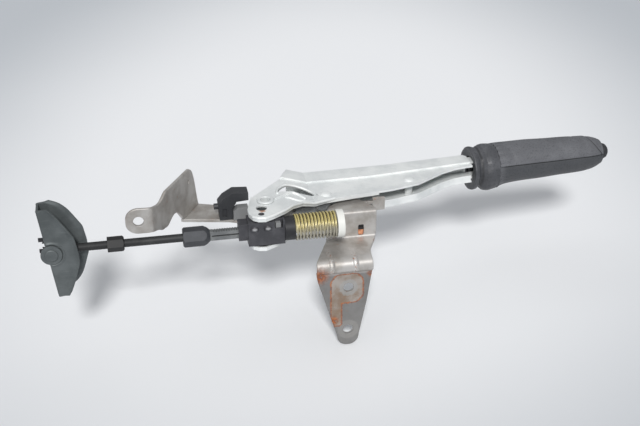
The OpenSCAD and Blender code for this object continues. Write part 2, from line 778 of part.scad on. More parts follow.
module lock_wedge() {
  side = 5;
  color("#d9d9d4") translate([-housing_front - 9, housing_y + over, wedge_z]) cube([side, side, side]);
}

module adjuster_bar() {
  strip_h = (bar_h - bar_gap) / 2;
  notches = floor((-housing_rear - step_l - bar_rear - 6) / bar_pitch) - 1;
  color("#6f7173") difference() {
    union() {
      for (side = [-1, 1]) flat_x(bar_rear, bar_front, bar_t, strip_h, side * (bar_gap + strip_h) / 2);
      flat_x(collar_rear, bar_front, bar_t, bar_h);
      flat_x(bar_rear, bar_rear + 6, bar_t, bar_h);
    }
    for (i = [0 : notches]) translate([bar_rear + 8 + i * bar_pitch, rod_y, mid_z + bar_h / 2 + 0.3])
      rotate([0, 45, 0]) cube([1.4, bar_t + over, 1.4], center = true);
  }
}

module take_up_spring() {
  color("#b7a866") translate([cap_front, rod_y, mid_z]) coil(spring_r - wire_r, wire_r, spring_l, turns, 20, 8);
}

module spring_collar() {
  color("#d5d6d2") difference() {
    rod_x(end_collar_r, collar_rear, bar_front);
    flat_x(collar_rear - over, bar_front + over, bar_t, bar_h);
  }
}

module coupling_nut() {
  x1 = -coupler_x;
  x0 = x1 - coupler_l;
  corner = coupler_af / 2 * hex_k;
  color("#8b9092") difference() {
    intersection() {
      translate([x0, rod_y, mid_z]) rotate([0, 90, 0]) rotate([0, 0, 30]) cylinder(r = corner, h = coupler_l, $fn = 6);
      translate([0, rod_y, mid_z]) turned([[x0, 0], [x0, corner - 1.2], [x0 + 1.2, corner], [x1 - 6, corner],
        [x1 - 3, corner - 1.4], [x1 - 1, corner - 3], [x1, corner - 4], [x1, 0]]);
    }
    rod_x(tie_r, x0 - over, x0 + coupler_l - 10);
    flat_x(x1 - 4, x1 + over, bar_t, bar_h);
  }
}

module tie_rod() {
  color("#5f6264") rod_x(tie_r, -trunnion_x, -coupler_x - 10);
}

module lock_nut() {
  corner = nut_af / 2 * hex_k;
  x0 = -nut_x - nut_l / 2;
  x1 = x0 + nut_l;
  color("#232425") difference() {
    intersection() {
      translate([x0, rod_y, mid_z]) rotate([0, 90, 0]) rotate([0, 0, 30]) cylinder(r = corner, h = nut_l, $fn = 6);
      translate([0, rod_y, mid_z]) turned([[x0, 0], [x0, corner], [x1 - 1.4, corner], [x1, corner - 1.4], [x1, 0]]);
    }
    rod_x(tie_r, x0 - over, x1 + over);
  }
}

// Moves children to the equaliser's own axes, trunnion at the origin
module yoke_frame() {
  translate([-trunnion_x, rod_y, mid_z]) rotate([0, -yoke_lean, 0]) children();
}

// Side shape of the equaliser's folded plates
module yoke_profile() {
  back = -yoke_back;
  half = [[back, yoke_half - 1], [back + 1, yoke_half], [back + yoke_end - 2, yoke_half],
    [back + yoke_end, yoke_half - 3], [back + yoke_end + 5, yoke_half - 12], [back + yoke_mid, 14]];
  polygon(concat(half, [for (i = [len(half) - 1 : -1 : 0]) [half[i][0], -half[i][1]]]));
}

// One plate of the equaliser, from distance y0 upward
module yoke_plate(y0) {
  color("#a7aaab") yoke_frame() difference() {
    standing(y0, yoke_t) yoke_profile();
    rotate([90, 0, 0]) cylinder(r = trunnion_r + fit, h = far, center = true);
  }
}

module yoke_plate_near() {
  yoke_plate(-yoke_w / 2);
}

module yoke_plate_far() {
  yoke_plate(yoke_w / 2 - yoke_t);
}

module yoke_back() {
  back = -yoke_back;
  gap = yoke_w - 2 * yoke_t;
  slot = 2 * trunnion_r;
  color("#a7aaab") yoke_frame() difference() {
    intersection() {
      standing(-gap / 2, gap) yoke_profile();
      for (side = [0, 1]) mirror([0, 0, side])
        translate([back - over, -gap / 2, slot]) cube([yoke_t + over, gap, yoke_half]);
    }
    for (side = [-1, 1]) translate([back - over, 0, side * cable_z]) rotate([0, 90, 0])
      cylinder(r = cable_r, h = yoke_t + 2 * over);
  }
}

module trunnion() {
  half = yoke_w / 2;
  face = half + play;
  flange_h = 1.4;
  color("#8f9394") difference() {
    translate([-trunnion_x, rod_y, mid_z]) rotate([90, 0, 0]) rotate_extrude($fn = 48)
      polygon([[0, -half - 3], [trunnion_r, -half - 3], [trunnion_r, face], [flange_r, face],
        [flange_r, face + flange_h], [trunnion_r, face + flange_h], [trunnion_r, face + 2.4],
        [trunnion_r - 0.8, face + 3], [0, face + 3]]);
    rod_x(tie_r, -trunnion_x, -trunnion_x + 2 * trunnion_r);
  }
}

module retaining_clip() {
  y0 = rod_y + yoke_w / 2 + play;
  y1 = y0 + 1.2;
  ring_r = trunnion_r + 3;
  ear = 4;
  color("#3a3b3d") difference() {
    union() {
      pin_y(-trunnion_x, mid_z, ring_r, y0, y1);
      for (side = [-1, 1]) translate([-trunnion_x - ring_r - 3, y0, mid_z + side * 6 - ear / 2]) cube([8, y1 - y0, ear]);
    }
    pin_y(-trunnion_x, mid_z, trunnion_r, y0 - over, y1 + over);
    translate([-trunnion_x - 2 * ring_r, y0 - over, mid_z - ear / 2]) cube([2 * ring_r, y1 - y0 + 2 * over, ear]);
  }
}

base_plate();
front_foot();
rear_leg();
toothed_sector();
sector_rivets();
pivot_rivet();
pivot_spacers();
switch_body();
switch_plunger();
cheek_right();
cheek_left();
spine_channel();
cross_rivets();
grip_core();
grip_sleeve();
gaiter_collar();
release_button();
release_rod();
button_spring();
pawl();
adjuster_housing();
housing_cap();
lock_wedge();
adjuster_bar();
take_up_spring();
spring_collar();
coupling_nut();
tie_rod();
lock_nut();
yoke_plate_near();
yoke_plate_far();
yoke_back();
trunnion();
retaining_clip();
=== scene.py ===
"""Looks of a car's parking brake lever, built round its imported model.

Every length in the classes is in millimetres, in the part's own frame: X runs to the grip, Y away from the
mounting face and Z along the pivot. Meshes are laid in metres.
"""

from __future__ import annotations

import json
import logging
import math
from collections.abc import Callable
from dataclasses import dataclass
from enum import Enum
from functools import lru_cache
from typing import Any

import bmesh
import bpy
import numpy as np
from mathutils import Matrix, Vector

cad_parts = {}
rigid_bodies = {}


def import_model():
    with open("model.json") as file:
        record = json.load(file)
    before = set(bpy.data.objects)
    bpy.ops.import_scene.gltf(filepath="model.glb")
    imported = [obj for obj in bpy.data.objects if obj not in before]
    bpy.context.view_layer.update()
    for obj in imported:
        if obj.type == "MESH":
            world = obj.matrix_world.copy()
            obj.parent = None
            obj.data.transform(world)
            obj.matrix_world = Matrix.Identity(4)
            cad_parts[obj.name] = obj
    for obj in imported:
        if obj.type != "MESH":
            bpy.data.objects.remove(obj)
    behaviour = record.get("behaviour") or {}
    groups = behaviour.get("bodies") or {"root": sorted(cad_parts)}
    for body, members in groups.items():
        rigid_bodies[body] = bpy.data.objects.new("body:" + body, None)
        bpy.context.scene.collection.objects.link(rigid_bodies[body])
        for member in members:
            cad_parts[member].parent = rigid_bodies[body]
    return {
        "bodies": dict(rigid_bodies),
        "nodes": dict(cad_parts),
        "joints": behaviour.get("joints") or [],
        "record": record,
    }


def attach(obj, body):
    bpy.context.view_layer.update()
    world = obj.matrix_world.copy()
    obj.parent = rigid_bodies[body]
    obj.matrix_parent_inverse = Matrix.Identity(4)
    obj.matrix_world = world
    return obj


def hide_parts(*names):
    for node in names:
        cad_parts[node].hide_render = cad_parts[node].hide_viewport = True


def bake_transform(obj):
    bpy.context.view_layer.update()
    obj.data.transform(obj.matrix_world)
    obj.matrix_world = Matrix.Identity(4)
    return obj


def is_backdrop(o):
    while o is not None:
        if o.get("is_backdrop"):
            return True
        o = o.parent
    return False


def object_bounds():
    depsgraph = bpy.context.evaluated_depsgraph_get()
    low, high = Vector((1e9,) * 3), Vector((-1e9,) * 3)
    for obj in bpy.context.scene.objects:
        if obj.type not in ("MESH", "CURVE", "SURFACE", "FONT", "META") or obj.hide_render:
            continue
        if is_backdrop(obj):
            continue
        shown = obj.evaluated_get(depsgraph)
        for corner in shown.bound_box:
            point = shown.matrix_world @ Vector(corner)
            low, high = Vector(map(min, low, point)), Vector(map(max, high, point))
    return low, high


LOG = logging.getLogger("parking_brake_lever")
MM = 0.001
TURN = 2 * math.pi
IMAGE = (640, 426)
SHARP_EDGE = math.radians(42.0)
SAME_PLACE = 1e-7

Point = tuple[float, float, float]
Colour = tuple[float, float, float]
Spot = tuple[Point, float]

# Places that a shape and its finish share, in millimetres and degrees.
BOLT_PITCH = 50.0
RIB_X = (-18.0, 6.0)
GRIP_START: Point = (163.0, 123.0, 62.0)
GRIP_TILT = 3.6
SEAM_ANGLE = 11.5
SEAM_MIDDLE = 90.0
SEAM_DRIFT = 0.0003
HOOD_AT = 149.5
HOOD_DIP = 14.0


class Side(Enum):
    """Which side of the pull rod a plate lies on."""

    NEAR = -1
    FAR = 1


class Hand(Enum):
    """Which way a coil is wound."""

    RIGHT = 1
    LEFT = -1


def tone(red: int, green: int, blue: int) -> Colour:
    """Turns a screen colour into the linear colour that shaders use.

    Args:
        red: Red, from 0 to 255.
        green: Green, from 0 to 255.
        blue: Blue, from 0 to 255.

    Returns:
        The linear colour.
    """
    part = np.array([red, green, blue]) / 255
    linear = np.where(part <= 0.04045, part / 12.92, ((part + 0.055) / 1.055) ** 2.4)
    return tuple(float(v) for v in linear)


def operator(operation: str, reflected: bool = False) -> Callable[..., "Sock"]:
    """An operator of shader values.

    Args:
        operation: Blender's name of the operation.
        reflected: Whether the other value comes first.

    Returns:
        The method that adds its Math node.
    """

    def method(self: "Sock", other: Any = 0.0) -> "Sock":
        """Adds one Math node for this value and the other."""
        return self.bench.math(operation, *((other, self) if reflected else (self, other)))

    return method


class Sock:
    """A shader value that adds Math nodes when Python operators work on it."""

    __add__, __radd__ = operator("ADD"), operator("ADD", True)
    __sub__, __rsub__ = operator("SUBTRACT"), operator("SUBTRACT", True)
    __mul__, __rmul__ = operator("MULTIPLY"), operator("MULTIPLY", True)
    __truediv__, __pow__, __abs__ = operator("DIVIDE"), operator("POWER"), operator("ABSOLUTE")
    least, most = operator("MINIMUM"), operator("MAXIMUM")

    def __init__(self, bench: "Bench", socket: bpy.types.NodeSocket) -> None:
        """Keeps the bench that makes nodes and the socket that gives the value."""
        self.bench = bench
        self.socket = socket

    def fade(self, start: float, end: float) -> "Sock":
        """Smooth step from 0 at start to 1 at end, either way round.

        Args:
            start: Value that gives 0.
            end: Value that gives 1.

        Returns:
            The smooth step.
        """
        low, high = min(start, end), max(start, end)
        ends = (0.0, 1.0) if start < end else (1.0, 0.0)
        sockets = {"Value": self, "From Min": low, "From Max": high, "To Min": ends[0], "To Max": ends[1]}
        return self.bench.value(0, "ShaderNodeMapRange", {"interpolation_type": "SMOOTHSTEP"}, sockets)


class Bench:
    """Node bench of one material, with the place on the part in millimetres."""

    def __init__(self, name: str) -> None:
        """Starts an empty material.

        Args:
            name: Name of the material.
        """
        self.material = bpy.data.materials.new(name)
        self.material.use_nodes = True
        self.tree = self.material.node_tree
        self.tree.nodes.clear()
        where = self.value("Object", "ShaderNodeTexCoord", {}, {})
        scale = {0: where, "Scale": 1 / MM}
        self.place = self.value(0, "ShaderNodeVectorMath", {"operation": "SCALE"}, scale)
        split = self.node("ShaderNodeSeparateXYZ", {}, {0: self.place})
        self.x, self.y, self.z = (Sock(self, end) for end in split.outputs)

    def node(self, kind: str, settings: dict[str, Any], sockets: dict[Any, Any]) -> bpy.types.Node:
        """Adds one node.

        Args:
            kind: Blender's name of the node's type.
            settings: Properties of the node, set first.
            sockets: Values or links of its inputs, by name or number.

        Returns:
            The node.
        """
        made = self.tree.nodes.new(kind)
        for key, value in settings.items():
            setattr(made, key, value)
        for key, value in sockets.items():
            end = made.inputs[key]
            if isinstance(value, Sock):
                self.tree.links.new(value.socket, end)
            elif end.type == "RGBA" and len(value) == 3:
                end.default_value = (*value, 1.0)
            else:
                end.default_value = value
        return made

    def value(self, end: int | str, kind: str, settings: dict[str, Any], sockets: dict[Any, Any]) -> Sock:
        """Adds one node and gives the output of that name or number."""
        return Sock(self, self.node(kind, settings, sockets).outputs[end])

    def math(self, operation: str, first: Any, second: Any = 0.0) -> Sock:
        """One Math node on two values, by Blender's name of its operation."""
        return self.value(0, "ShaderNodeMath", {"operation": operation}, {0: first, 1: second})

    def stretched(self, along: Point) -> Sock:
        """The place with each axis scaled, so that a pattern is drawn out."""
        return self.value(0, "ShaderNodeVectorMath", {"operation": "MULTIPLY"}, {0: self.place, 1: along})

    def noise(
        self, scale: float, detail: float = 3.0, rough: float = 0.55, where: Sock | None = None
    ) -> Sock:
        """Cloudy noise from 0 to 1: clouds per millimetre, finer layers, their strength and the place."""
        sockets = {"Vector": where or self.place, "Scale": scale, "Detail": detail, "Roughness": rough}
        return self.value(0, "ShaderNodeTexNoise", {}, sockets)

    def cells(self, scale: float, feature: str = "F1") -> Sock:
        """Distance in a pattern of cells: cells per millimetre and Blender's name of the distance."""
        sockets = {"Vector": self.place, "Scale": scale}
        return self.value("Distance", "ShaderNodeTexVoronoi", {"feature": feature}, sockets)

    def near(self, spot: Point, reach: float, wander: Sock) -> Sock:
        """Soft round mask about a place.

        Args:
            spot: Middle of the mask.
            reach: Radius of the mask.
            wander: Noise that frays its edge.

        Returns:
            Mask, 1 in the middle.
        """
        ends = {0: self.place, 1: spot}
        away = self.value("Value", "ShaderNodeVectorMath", {"operation": "DISTANCE"}, ends)
        return (away + (wander - 0.5) * reach).fade(reach, 0.35 * reach)

    def spread(self, spots: tuple[Spot, ...], wander: Sock) -> Sock | float:
        """Soft masks about several places, joined.

        Args:
            spots: Middles and radii.
            wander: Noise that frays their edges.

        Returns:
            Joined mask.
        """
        whole: Sock | float = 0.0
        for spot, reach in spots:
            mask = self.near(spot, reach, wander)
            whole = mask if isinstance(whole, float) else whole.most(mask)
        return whole

    def mix(self, amount: Any, first: Any, second: Any) -> Sock:
        """Mixes two colours: an amount of 0 gives the first and 1 the second."""
        return self.value(2, "ShaderNodeMix", {"data_type": "RGBA"}, {0: amount, 6: first, 7: second})

    def relief(self, height: Sock, strength: float, depth: float, edge: float = 0.0) -> Sock:
        """Surface normal from a height, over edges that look rounded.

        Args:
            height: Height from 0 to 1.
            strength: How much of it shows.
            depth: Depth in millimetres.
            edge: Radius of the rounded edges.

        Returns:
            The normal.
        """
        sockets: dict[Any, Any] = {"Height": height, "Strength": strength, "Distance": depth * MM}
        if edge:
            sockets["Normal"] = self.value(0, "ShaderNodeBevel", {"samples": 6}, {"Radius": edge * MM})
        return self.value(0, "ShaderNodeBump", {}, sockets)

    def surface(
        self, colour: Any, rough: Any, metal: Any, normal: Sock | None, **fixed: float
    ) -> bpy.types.Material:
        """Ends the material in one Principled shader.

        Args:
            colour: Base colour.
            rough: Roughness.
            metal: Metallic.
            normal: Normal, or None for the mesh's own.
            **fixed: Plain values of other sockets, with _ for a space.

        Returns:
            The finished material.
        """
        sockets = {"Base Color": colour, "Roughness": rough, "Metallic": metal}
        sockets.update({key.replace("_", " "): value for key, value in fixed.items()})
        if normal is not None:
            sockets["Normal"] = normal
        shader = self.value(0, "ShaderNodeBsdfPrincipled", {}, sockets)
        self.node("ShaderNodeOutputMaterial", {}, {"Surface": shader})
        return self.material


@dataclass(frozen=True)
class ZincPlate:
    """Zinc plated steel: cloudy and brushed, with specks and a little rust."""

    name: str
    bright: Colour
    dull: Colour
    rough: float = 0.36
    metal: float = 0.75
    brushed: float = 0.16
    rust: tuple[Spot, ...] = ()

    def material(self) -> bpy.types.Material:
        """Bright and dull clouds, dark specks, rust at named spots and fine drawn marks.

        Returns:
            The material.
        """
        bench = Bench(self.name)
        cloud = bench.noise(0.035, 5.0, 0.6)
        fine = bench.noise(0.7, 5.0, 0.65)
        drawn = bench.noise(0.55, 4.0, 0.6, bench.stretched((0.08, 1.0, 1.0)))
        colour = bench.mix(cloud.fade(0.36, 0.66), self.bright, self.dull)
        colour = bench.mix(bench.noise(1.3, 2.0).fade(0.66, 0.76) * 0.28, colour, tone(104, 104, 102))
        colour = bench.mix(drawn.fade(0.55, 0.75) * self.brushed, colour, tone(232, 236, 237))
        rust = bench.spread(self.rust, fine)
        if self.rust:
            colour = bench.mix(rust * 0.8, colour, bench.mix(fine, tone(120, 62, 28), tone(196, 128, 70)))
        rough = self.rough + cloud * 0.16 + fine * 0.1 + rust * 0.25
        normal = bench.relief(fine * 0.5 + drawn * 0.5, 0.35, 0.08, 0.5)
        return bench.surface(colour, rough, self.metal, normal)


@dataclass(frozen=True)
class BareSteel:
    """Bare stamped steel that has stained and rusted."""

    name: str
    steel: Colour
    stain: Colour
    rust: tuple[Spot, ...] = ()
    foot_print_and_shade: bool = False

    def material(self) -> bpy.types.Material:
        """Grey and brown clouds, rust pits, named rust spots, the print of a plate on the foot and painted
        shade on the foot's face below the roll.

        Returns:
            The material.
        """
        bench = Bench(self.name)
        cloud = bench.noise(0.05, 5.0, 0.6)
        blotch = bench.noise(0.3, 4.0, 0.6)
        fine = bench.noise(1.1, 4.0, 0.65)
        ginger = bench.mix(blotch.fade(0.4, 0.62), tone(112, 56, 34), tone(172, 104, 58))
        colour = bench.mix(cloud.fade(0.35, 0.68), self.steel, self.stain)
        colour = bench.mix(fine.fade(0.5, 0.75) * 0.4, colour, tone(196, 190, 184))
        pits = blotch.fade(0.62, 0.7) * cloud.fade(0.5, 0.6)
        rust = pits * 0.55
        if self.rust:
            rust = rust.most(bench.spread(self.rust, blotch) * blotch.fade(0.3, 0.5))
        if self.foot_print_and_shade:
            fill, line, clean = self.printed(bench, blotch)
            # Painted shade: the foot's front face below the roll is darkened to grey outside the print.
            face = bench.y.fade(2.0, 0.8) * bench.z.fade(18.0, 14.0)
            colour = bench.mix(face * (1 - fill) * 0.75, colour, tone(112, 112, 112))
            wash = bench.mix(fine, tone(128, 106, 90), tone(158, 140, 122))
            colour = bench.mix(fill * (0.4 + 0.6 * cloud.fade(0.4, 0.7)) * (1 - clean), colour, wash)
            colour = bench.mix(clean * 0.6, colour, tone(156, 154, 151))
            ribs = abs(bench.x - RIB_X[0]).least(abs(bench.x - RIB_X[1])).fade(2.9, 2.0)
            ribs = ribs * bench.z.fade(15.0, 19.0) * bench.y.fade(24.0, 14.0)
            colour = bench.mix(ribs * fine.fade(0.4, 0.6) * 0.7, colour, tone(212, 209, 206))
            flakes = ribs * bench.noise(0.55, 3.0).fade(0.58, 0.66) * 0.8
            rust = rust.most(line * (0.55 + 0.5 * blotch)).most(flakes)
        colour = bench.mix(rust, colour, ginger)
        rough = 0.42 + cloud * 0.16 + rust * 0.3
        metal = 0.62 - rust * 0.55
        normal = bench.relief(fine * 0.4 + blotch * 0.3 + rust * 0.3, 0.4, 0.16, 0.7)
        return bench.surface(colour, rough, metal, normal)

    @staticmethod
    def printed(bench: Bench, blotch: Sock) -> tuple[Sock, Sock, Sock]:
        """Print that a plate has left on the foot: a rounded bowl round the upper hole and a tail below it.

        Args:
            bench: Bench of the foot's material.
            blotch: Noise that frays the edge.

        Returns:
            Masks of the print's fill, of its edge line, and of the clean rings round the holes.
        """
        across = bench.x + (blotch - 0.5) * 3.0
        height = bench.z + (bench.noise(0.22, 3.0) - 0.5) * 4.0

        def rounded(middle: tuple[float, float], half: tuple[float, float], corner: float) -> Sock:
            """Distance to the edge of a rounded box, below 0 inside it.

            Args:
                middle: Middle of the box.
                half: Half its width and half its height.
                corner: Radius of its corners.

            Returns:
                The distance.
            """
            side = abs(across - middle[0]) - (half[0] - corner)
            tall = abs(height - middle[1]) - (half[1] - corner)
            outside = (side.most(0.0) ** 2 + tall.most(0.0) ** 2) ** 0.5
            return outside + side.most(tall).least(0.0) - corner

        bowl, tail = rounded((-1.5, -1.0), (16.5, 17.0), 11.0), rounded((-12.5, -22.0), (5.5, 23.0), 2.5)
        edge = bowl.least(tail)
        front = bench.y.fade(2.0, 0.8)
        upper = (bench.x**2 + bench.z**2) ** 0.5
        lower = (bench.x**2 + (bench.z + BOLT_PITCH) ** 2) ** 0.5
        petals = upper + (bench.noise(0.5, 2.0) - 0.5) * 5.0
        clean = petals.fade(10.0, 8.4).most((lower + (blotch - 0.5) * 3.0).fade(12.0, 10.0)) * front
        return edge.fade(0.8, -0.8) * front, abs(edge).fade(1.3, 0.3) * front, clean


@dataclass(frozen=True)
class DarkSteel:
    """Oiled, phosphated or black coated steel."""

    name: str
    body: Colour
    worn: Colour
    rough: float = 0.42
    metal: float = 0.55
    pitch: float = 0.0
    painted_glints: tuple[Spot, ...] = ()

    def material(self) -> bpy.types.Material:
        """Two tones in clouds, worn specks, painted highlights at given spots and, on a threaded rod, the
        rings of its thread.

        Returns:
            The material.
        """
        bench = Bench(self.name)
        cloud = bench.noise(0.08, 4.0, 0.6)
        fine = bench.noise(1.2, 4.0, 0.6)
        colour = bench.mix(cloud.fade(0.42, 0.74) * 0.6 + fine.fade(0.6, 0.8) * 0.4, self.body, self.worn)
        height = fine * 0.5 + cloud * 0.2
        if self.pitch:
            ring = bench.math("PINGPONG", bench.x, self.pitch / 2) / (self.pitch / 2)
            threaded = bench.x.fade(-196.0, -200.0)
            height = height * 0.4 + ring * threaded
            colour = bench.mix((1 - ring) * threaded * 0.55, colour, tone(22, 22, 23))
        # Painted highlight: pale spots where a surface would catch the light.
        if self.painted_glints:
            colour = bench.mix(bench.spread(self.painted_glints, fine) * 0.7, colour, tone(186, 186, 188))
        rough = self.rough + cloud * 0.18
        normal = bench.relief(height, 0.45, 0.25 if self.pitch else 0.08, 0.4)
        return bench.surface(colour, rough, self.metal, normal)


@dataclass(frozen=True)
class YellowZinc:
    """Yellow passivated spring wire, with painted light and shade: lighter and yellower above, darker and
    greyer below.
    """

    name: str

    def material(self) -> bpy.types.Material:
        """Straw yellow and darker grey zinc in clouds, mixed by height as painted light and shade: lighter
        and yellower on the upper side.

        Returns:
            The material.
        """
        bench = Bench(self.name)
        cloud = bench.noise(0.16, 3.0, 0.5)
        fine = bench.noise(1.4, 3.0, 0.6)
        # Painted light and shade: the upper side is lighter straw yellow, the lower side darker grey zinc.
        upper = (bench.z + (cloud - 0.5) * 14.0).fade(60.0, 74.0)
        straw = bench.mix(fine.fade(0.35, 0.65), tone(200, 182, 106), tone(222, 208, 142))
        zinc = bench.mix(fine.fade(0.35, 0.65), tone(150, 146, 134), tone(192, 188, 176))
        colour = bench.mix(0.06 + upper * 0.8, zinc, straw)
        return bench.surface(colour, 0.32 + fine * 0.15, 0.45, bench.relief(fine, 0.2, 0.05))


@dataclass(frozen=True)
class Moulding:
    """Moulded plastic with a fine eroded skin and scuffs."""

    name: str
    body: Colour
    scuff: Colour
    rough: float = 0.45

    def material(self) -> bpy.types.Material:
        """One colour with faint clouds, scuffs and a fine grain.

        Returns:
            The material.
        """
        bench = Bench(self.name)
        cloud = bench.noise(0.12, 4.0, 0.6)
        grain = bench.noise(2.6, 3.0, 0.6)
        scuffs = bench.noise(0.5, 4.0, 0.7, bench.stretched((1.0, 0.25, 0.6))).fade(0.6, 0.78)
        colour = bench.mix(cloud * 0.3 + scuffs * 0.4, self.body, self.scuff)
        return bench.surface(colour, self.rough + cloud * 0.14, 0.0, bench.relief(grain, 0.3, 0.06, 0.5))


@dataclass(frozen=True)
class Leather:
    """Dark grip leather: pebbled grain, worn in clouds, with painted shadow lines along the grip's seam, the
    hood's edge and a groove.
    """

    name: str
    body: Colour
    worn: Colour
    under: Colour
    groove: tuple[float, float] = (-20.0, 1.0)

    def material(self) -> bpy.types.Material:
        """Grain from two sizes of cells, dark creases, worn clouds, painted shadow lines, and a darker panel
        below the seam that is partly its own colour and partly painted shade.

        Returns:
            The material.
        """
        bench = Bench(self.name)
        pebble = bench.cells(0.95, "SMOOTH_F1")
        small = bench.cells(2.1)
        cloud = bench.noise(0.05, 4.0, 0.55)
        fine = bench.noise(1.8, 3.0, 0.6)
        crease = pebble.fade(0.42, 0.7)
        colour = bench.mix(cloud.fade(0.4, 0.7), self.body, self.worn)
        lean = math.radians(GRIP_TILT)
        x, y, z = bench.x - GRIP_START[0], bench.y - GRIP_START[1], bench.z - GRIP_START[2]
        ahead = x * math.cos(lean) + y * math.sin(lean)
        across = x * math.sin(lean) - y * math.cos(lean)
        angle = bench.math("ARCTAN2", z, across)
        seam = (angle - math.radians(SEAM_ANGLE) + (ahead - SEAM_MIDDLE) * SEAM_DRIFT) * 21.0
        sewn = ahead.fade(26.0, 34.0)
        hood = ahead - HOOD_AT + bench.math("SINE", angle - 0.28).most(0.0) * HOOD_DIP
        # Painted shadow lines along the seam, the hood's edge and the groove.
        line = (abs(seam).fade(1.0, 0.3) * sewn).most(abs(hood).fade(1.1, 0.3) * angle.fade(-0.1, 0.2))
        line = line.most(abs(ahead - self.groove[0]).fade(self.groove[1], 0.2) * 0.8)
        # Darker below the seam: partly the lower panel's own colour, partly painted shade.
        colour = bench.mix(seam.fade(0.8, -0.8) * (0.35 + sewn * 0.4), colour, self.under)
        # The grain's creases are darkened; the seam, hood and groove lines are painted shadow.
        colour = bench.mix((crease * 0.3).most(line * 0.9), colour, tone(20, 20, 22))
        rough = 0.55 - cloud * 0.12 + crease * 0.12
        height = 1 - pebble * 0.8 - small * 0.3 + fine * 0.2
        return bench.surface(colour, rough, 0.0, bench.relief(height, 0.3, 0.1))


@dataclass(frozen=True)
class CopperTongue:
    """Copper coloured tongue whose upper half is dark."""

    name: str
    copper: Colour
    dark_top: Colour
    line_z: float = 42.0

    def material(self) -> bpy.types.Material:
        """Copper below a frayed line, dark above it.

        Returns:
            The material.
        """
        bench = Bench(self.name)
        cloud = bench.noise(0.4, 3.0)
        fine = bench.noise(1.4, 3.0)
        bare = bench.mix(cloud.fade(0.4, 0.65), self.copper, tone(186, 120, 86))
        above = (bench.z + (fine - 0.5) * 1.5).fade(self.line_z - 0.5, self.line_z + 0.5)
        # Dark above a frayed line.
        colour = bench.mix(above, bare, self.dark_top)
        return bench.surface(colour, 0.4 + fine * 0.2, (1 - above) * 0.45, bench.relief(fine, 0.3, 0.08))


@dataclass(frozen=True)
class PaleBoard:
    """Pale board that the part lies on, with painted shade towards its rim."""

    name: str
    body: Colour
    rim: Colour

    def material(self) -> bpy.types.Material:
        """Pale in the middle and greyer towards the rim, as an oval longer behind than in front; the greyer
        rim is painted shade.

        Returns:
            The material.
        """
        bench = Bench(self.name)
        cloud = bench.noise(0.002, 2.0)
        across = (bench.x - 27.0 - (bench.y - 290.0) * 0.19) / 420.0
        behind = (bench.y - 290.0).most(0.0) / 900.0 + (290.0 - bench.y).most(0.0) / 430.0
        # Painted shade: the board darkens towards its rim.
        rim = ((across**2 + behind**2) ** 0.5 + cloud * 0.1).fade(0.7, 1.75)
        colour = bench.mix(rim, self.body, self.rim)
        return bench.surface(colour, 0.75, 0.0, None, Specular_IOR_Level=0.2)


Finish = ZincPlate | BareSteel | DarkSteel | YellowZinc | Moulding | Leather | CopperTongue | PaleBoard

NOSE_RUST: tuple[Spot, ...] = (((-81.0, 28.5, 80.0), 4.5),)
ZINC = ZincPlate("zinc", tone(238, 240, 239), tone(220, 223, 223), 0.42, 0.35, rust=NOSE_RUST)
DULL_ZINC = ZincPlate("grey_zinc", tone(102, 107, 108), tone(84, 89, 90), 0.46, 0.45, 0.05)
STEEL = BareSteel("bare_steel", tone(190, 187, 183), tone(160, 154, 148))
FOOT_RUST: tuple[Spot, ...] = (
    ((-31.0, -3.0, 17.0), 15.0),
    ((23.0, 2.0, 15.0), 7.0),
    ((37.0, 30.0, 34.0), 7.0),
    ((-15.0, 1.0, -38.0), 7.0),
)
FOOT_STEEL = BareSteel("foot_steel", tone(193, 190, 187), tone(165, 160, 154), FOOT_RUST, True)
OILED = DarkSteel("oiled_steel", tone(116, 118, 119), tone(152, 154, 154))
ROD_STEEL = DarkSteel("rod_steel", tone(50, 51, 52), tone(72, 73, 73), 0.5, 0.35, 1.25)
NUT_STEEL = DarkSteel("nut_steel", tone(60, 62, 66), tone(80, 82, 86), 0.5, 0.25)
BLACK_STEEL = DarkSteel("black_steel", tone(38, 38, 41), tone(66, 66, 68), 0.45, 0.25)
BLACK_OXIDE = DarkSteel("black_oxide", tone(24, 24, 25), tone(42, 42, 43), 0.5, 0.1)
# Painted highlights on the housing's two lances.
LANCE_GLINTS: tuple[Spot, ...] = (((-91.0, 11.8, 69.2), 3.0), ((-78.0, 11.8, 69.2), 3.0))
HOUSING = DarkSteel("housing_steel", tone(66, 66, 70), tone(96, 96, 100), 0.42, 0.3, 0.0, LANCE_GLINTS)
SPRING_WIRE = YellowZinc("yellow_zinc")
BLACK_PLASTIC = Moulding("black_plastic", tone(40, 41, 44), tone(72, 73, 76), 0.38)
BUTTON_PLASTIC = Moulding("button_plastic", tone(38, 38, 41), tone(60, 60, 63), 0.42)
GREY_PLASTIC = Moulding("grey_plastic", tone(122, 123, 124), tone(150, 150, 150))
WHITE_PLASTIC = Moulding("white_plastic", tone(226, 226, 221), tone(198, 197, 190), 0.4)
LEATHER = Leather("dark_leather", tone(92, 93, 97), tone(101, 102, 106), tone(54, 56, 59))
# Painted shade: the collar's leather is a darker copy of the grip's.
SHADED_GATHERED = Leather("shaded_gathered_leather", tone(70, 71, 75), tone(84, 85, 89), tone(48, 50, 53), (5.6, 2.2))
COPPER = CopperTongue("copper_tongue", tone(224, 160, 122), tone(30, 29, 29))
BOARD = PaleBoard("pale_board", tone(234, 235, 237), tone(188, 192, 197))


@lru_cache(maxsize=None)
def finished(finish: Finish) -> bpy.types.Material:
    """The material of a finish, made once."""
    return finish.material()


def paint(piece: bpy.types.Object, finish: Finish) -> None:
    """Gives a piece one finish."""
    piece.data.materials.clear()
    piece.data.materials.append(finished(finish))


def around(sides: int) -> np.ndarray:
    """Angles evenly round a circle."""
    return np.linspace(0, TURN, sides, endpoint=False)


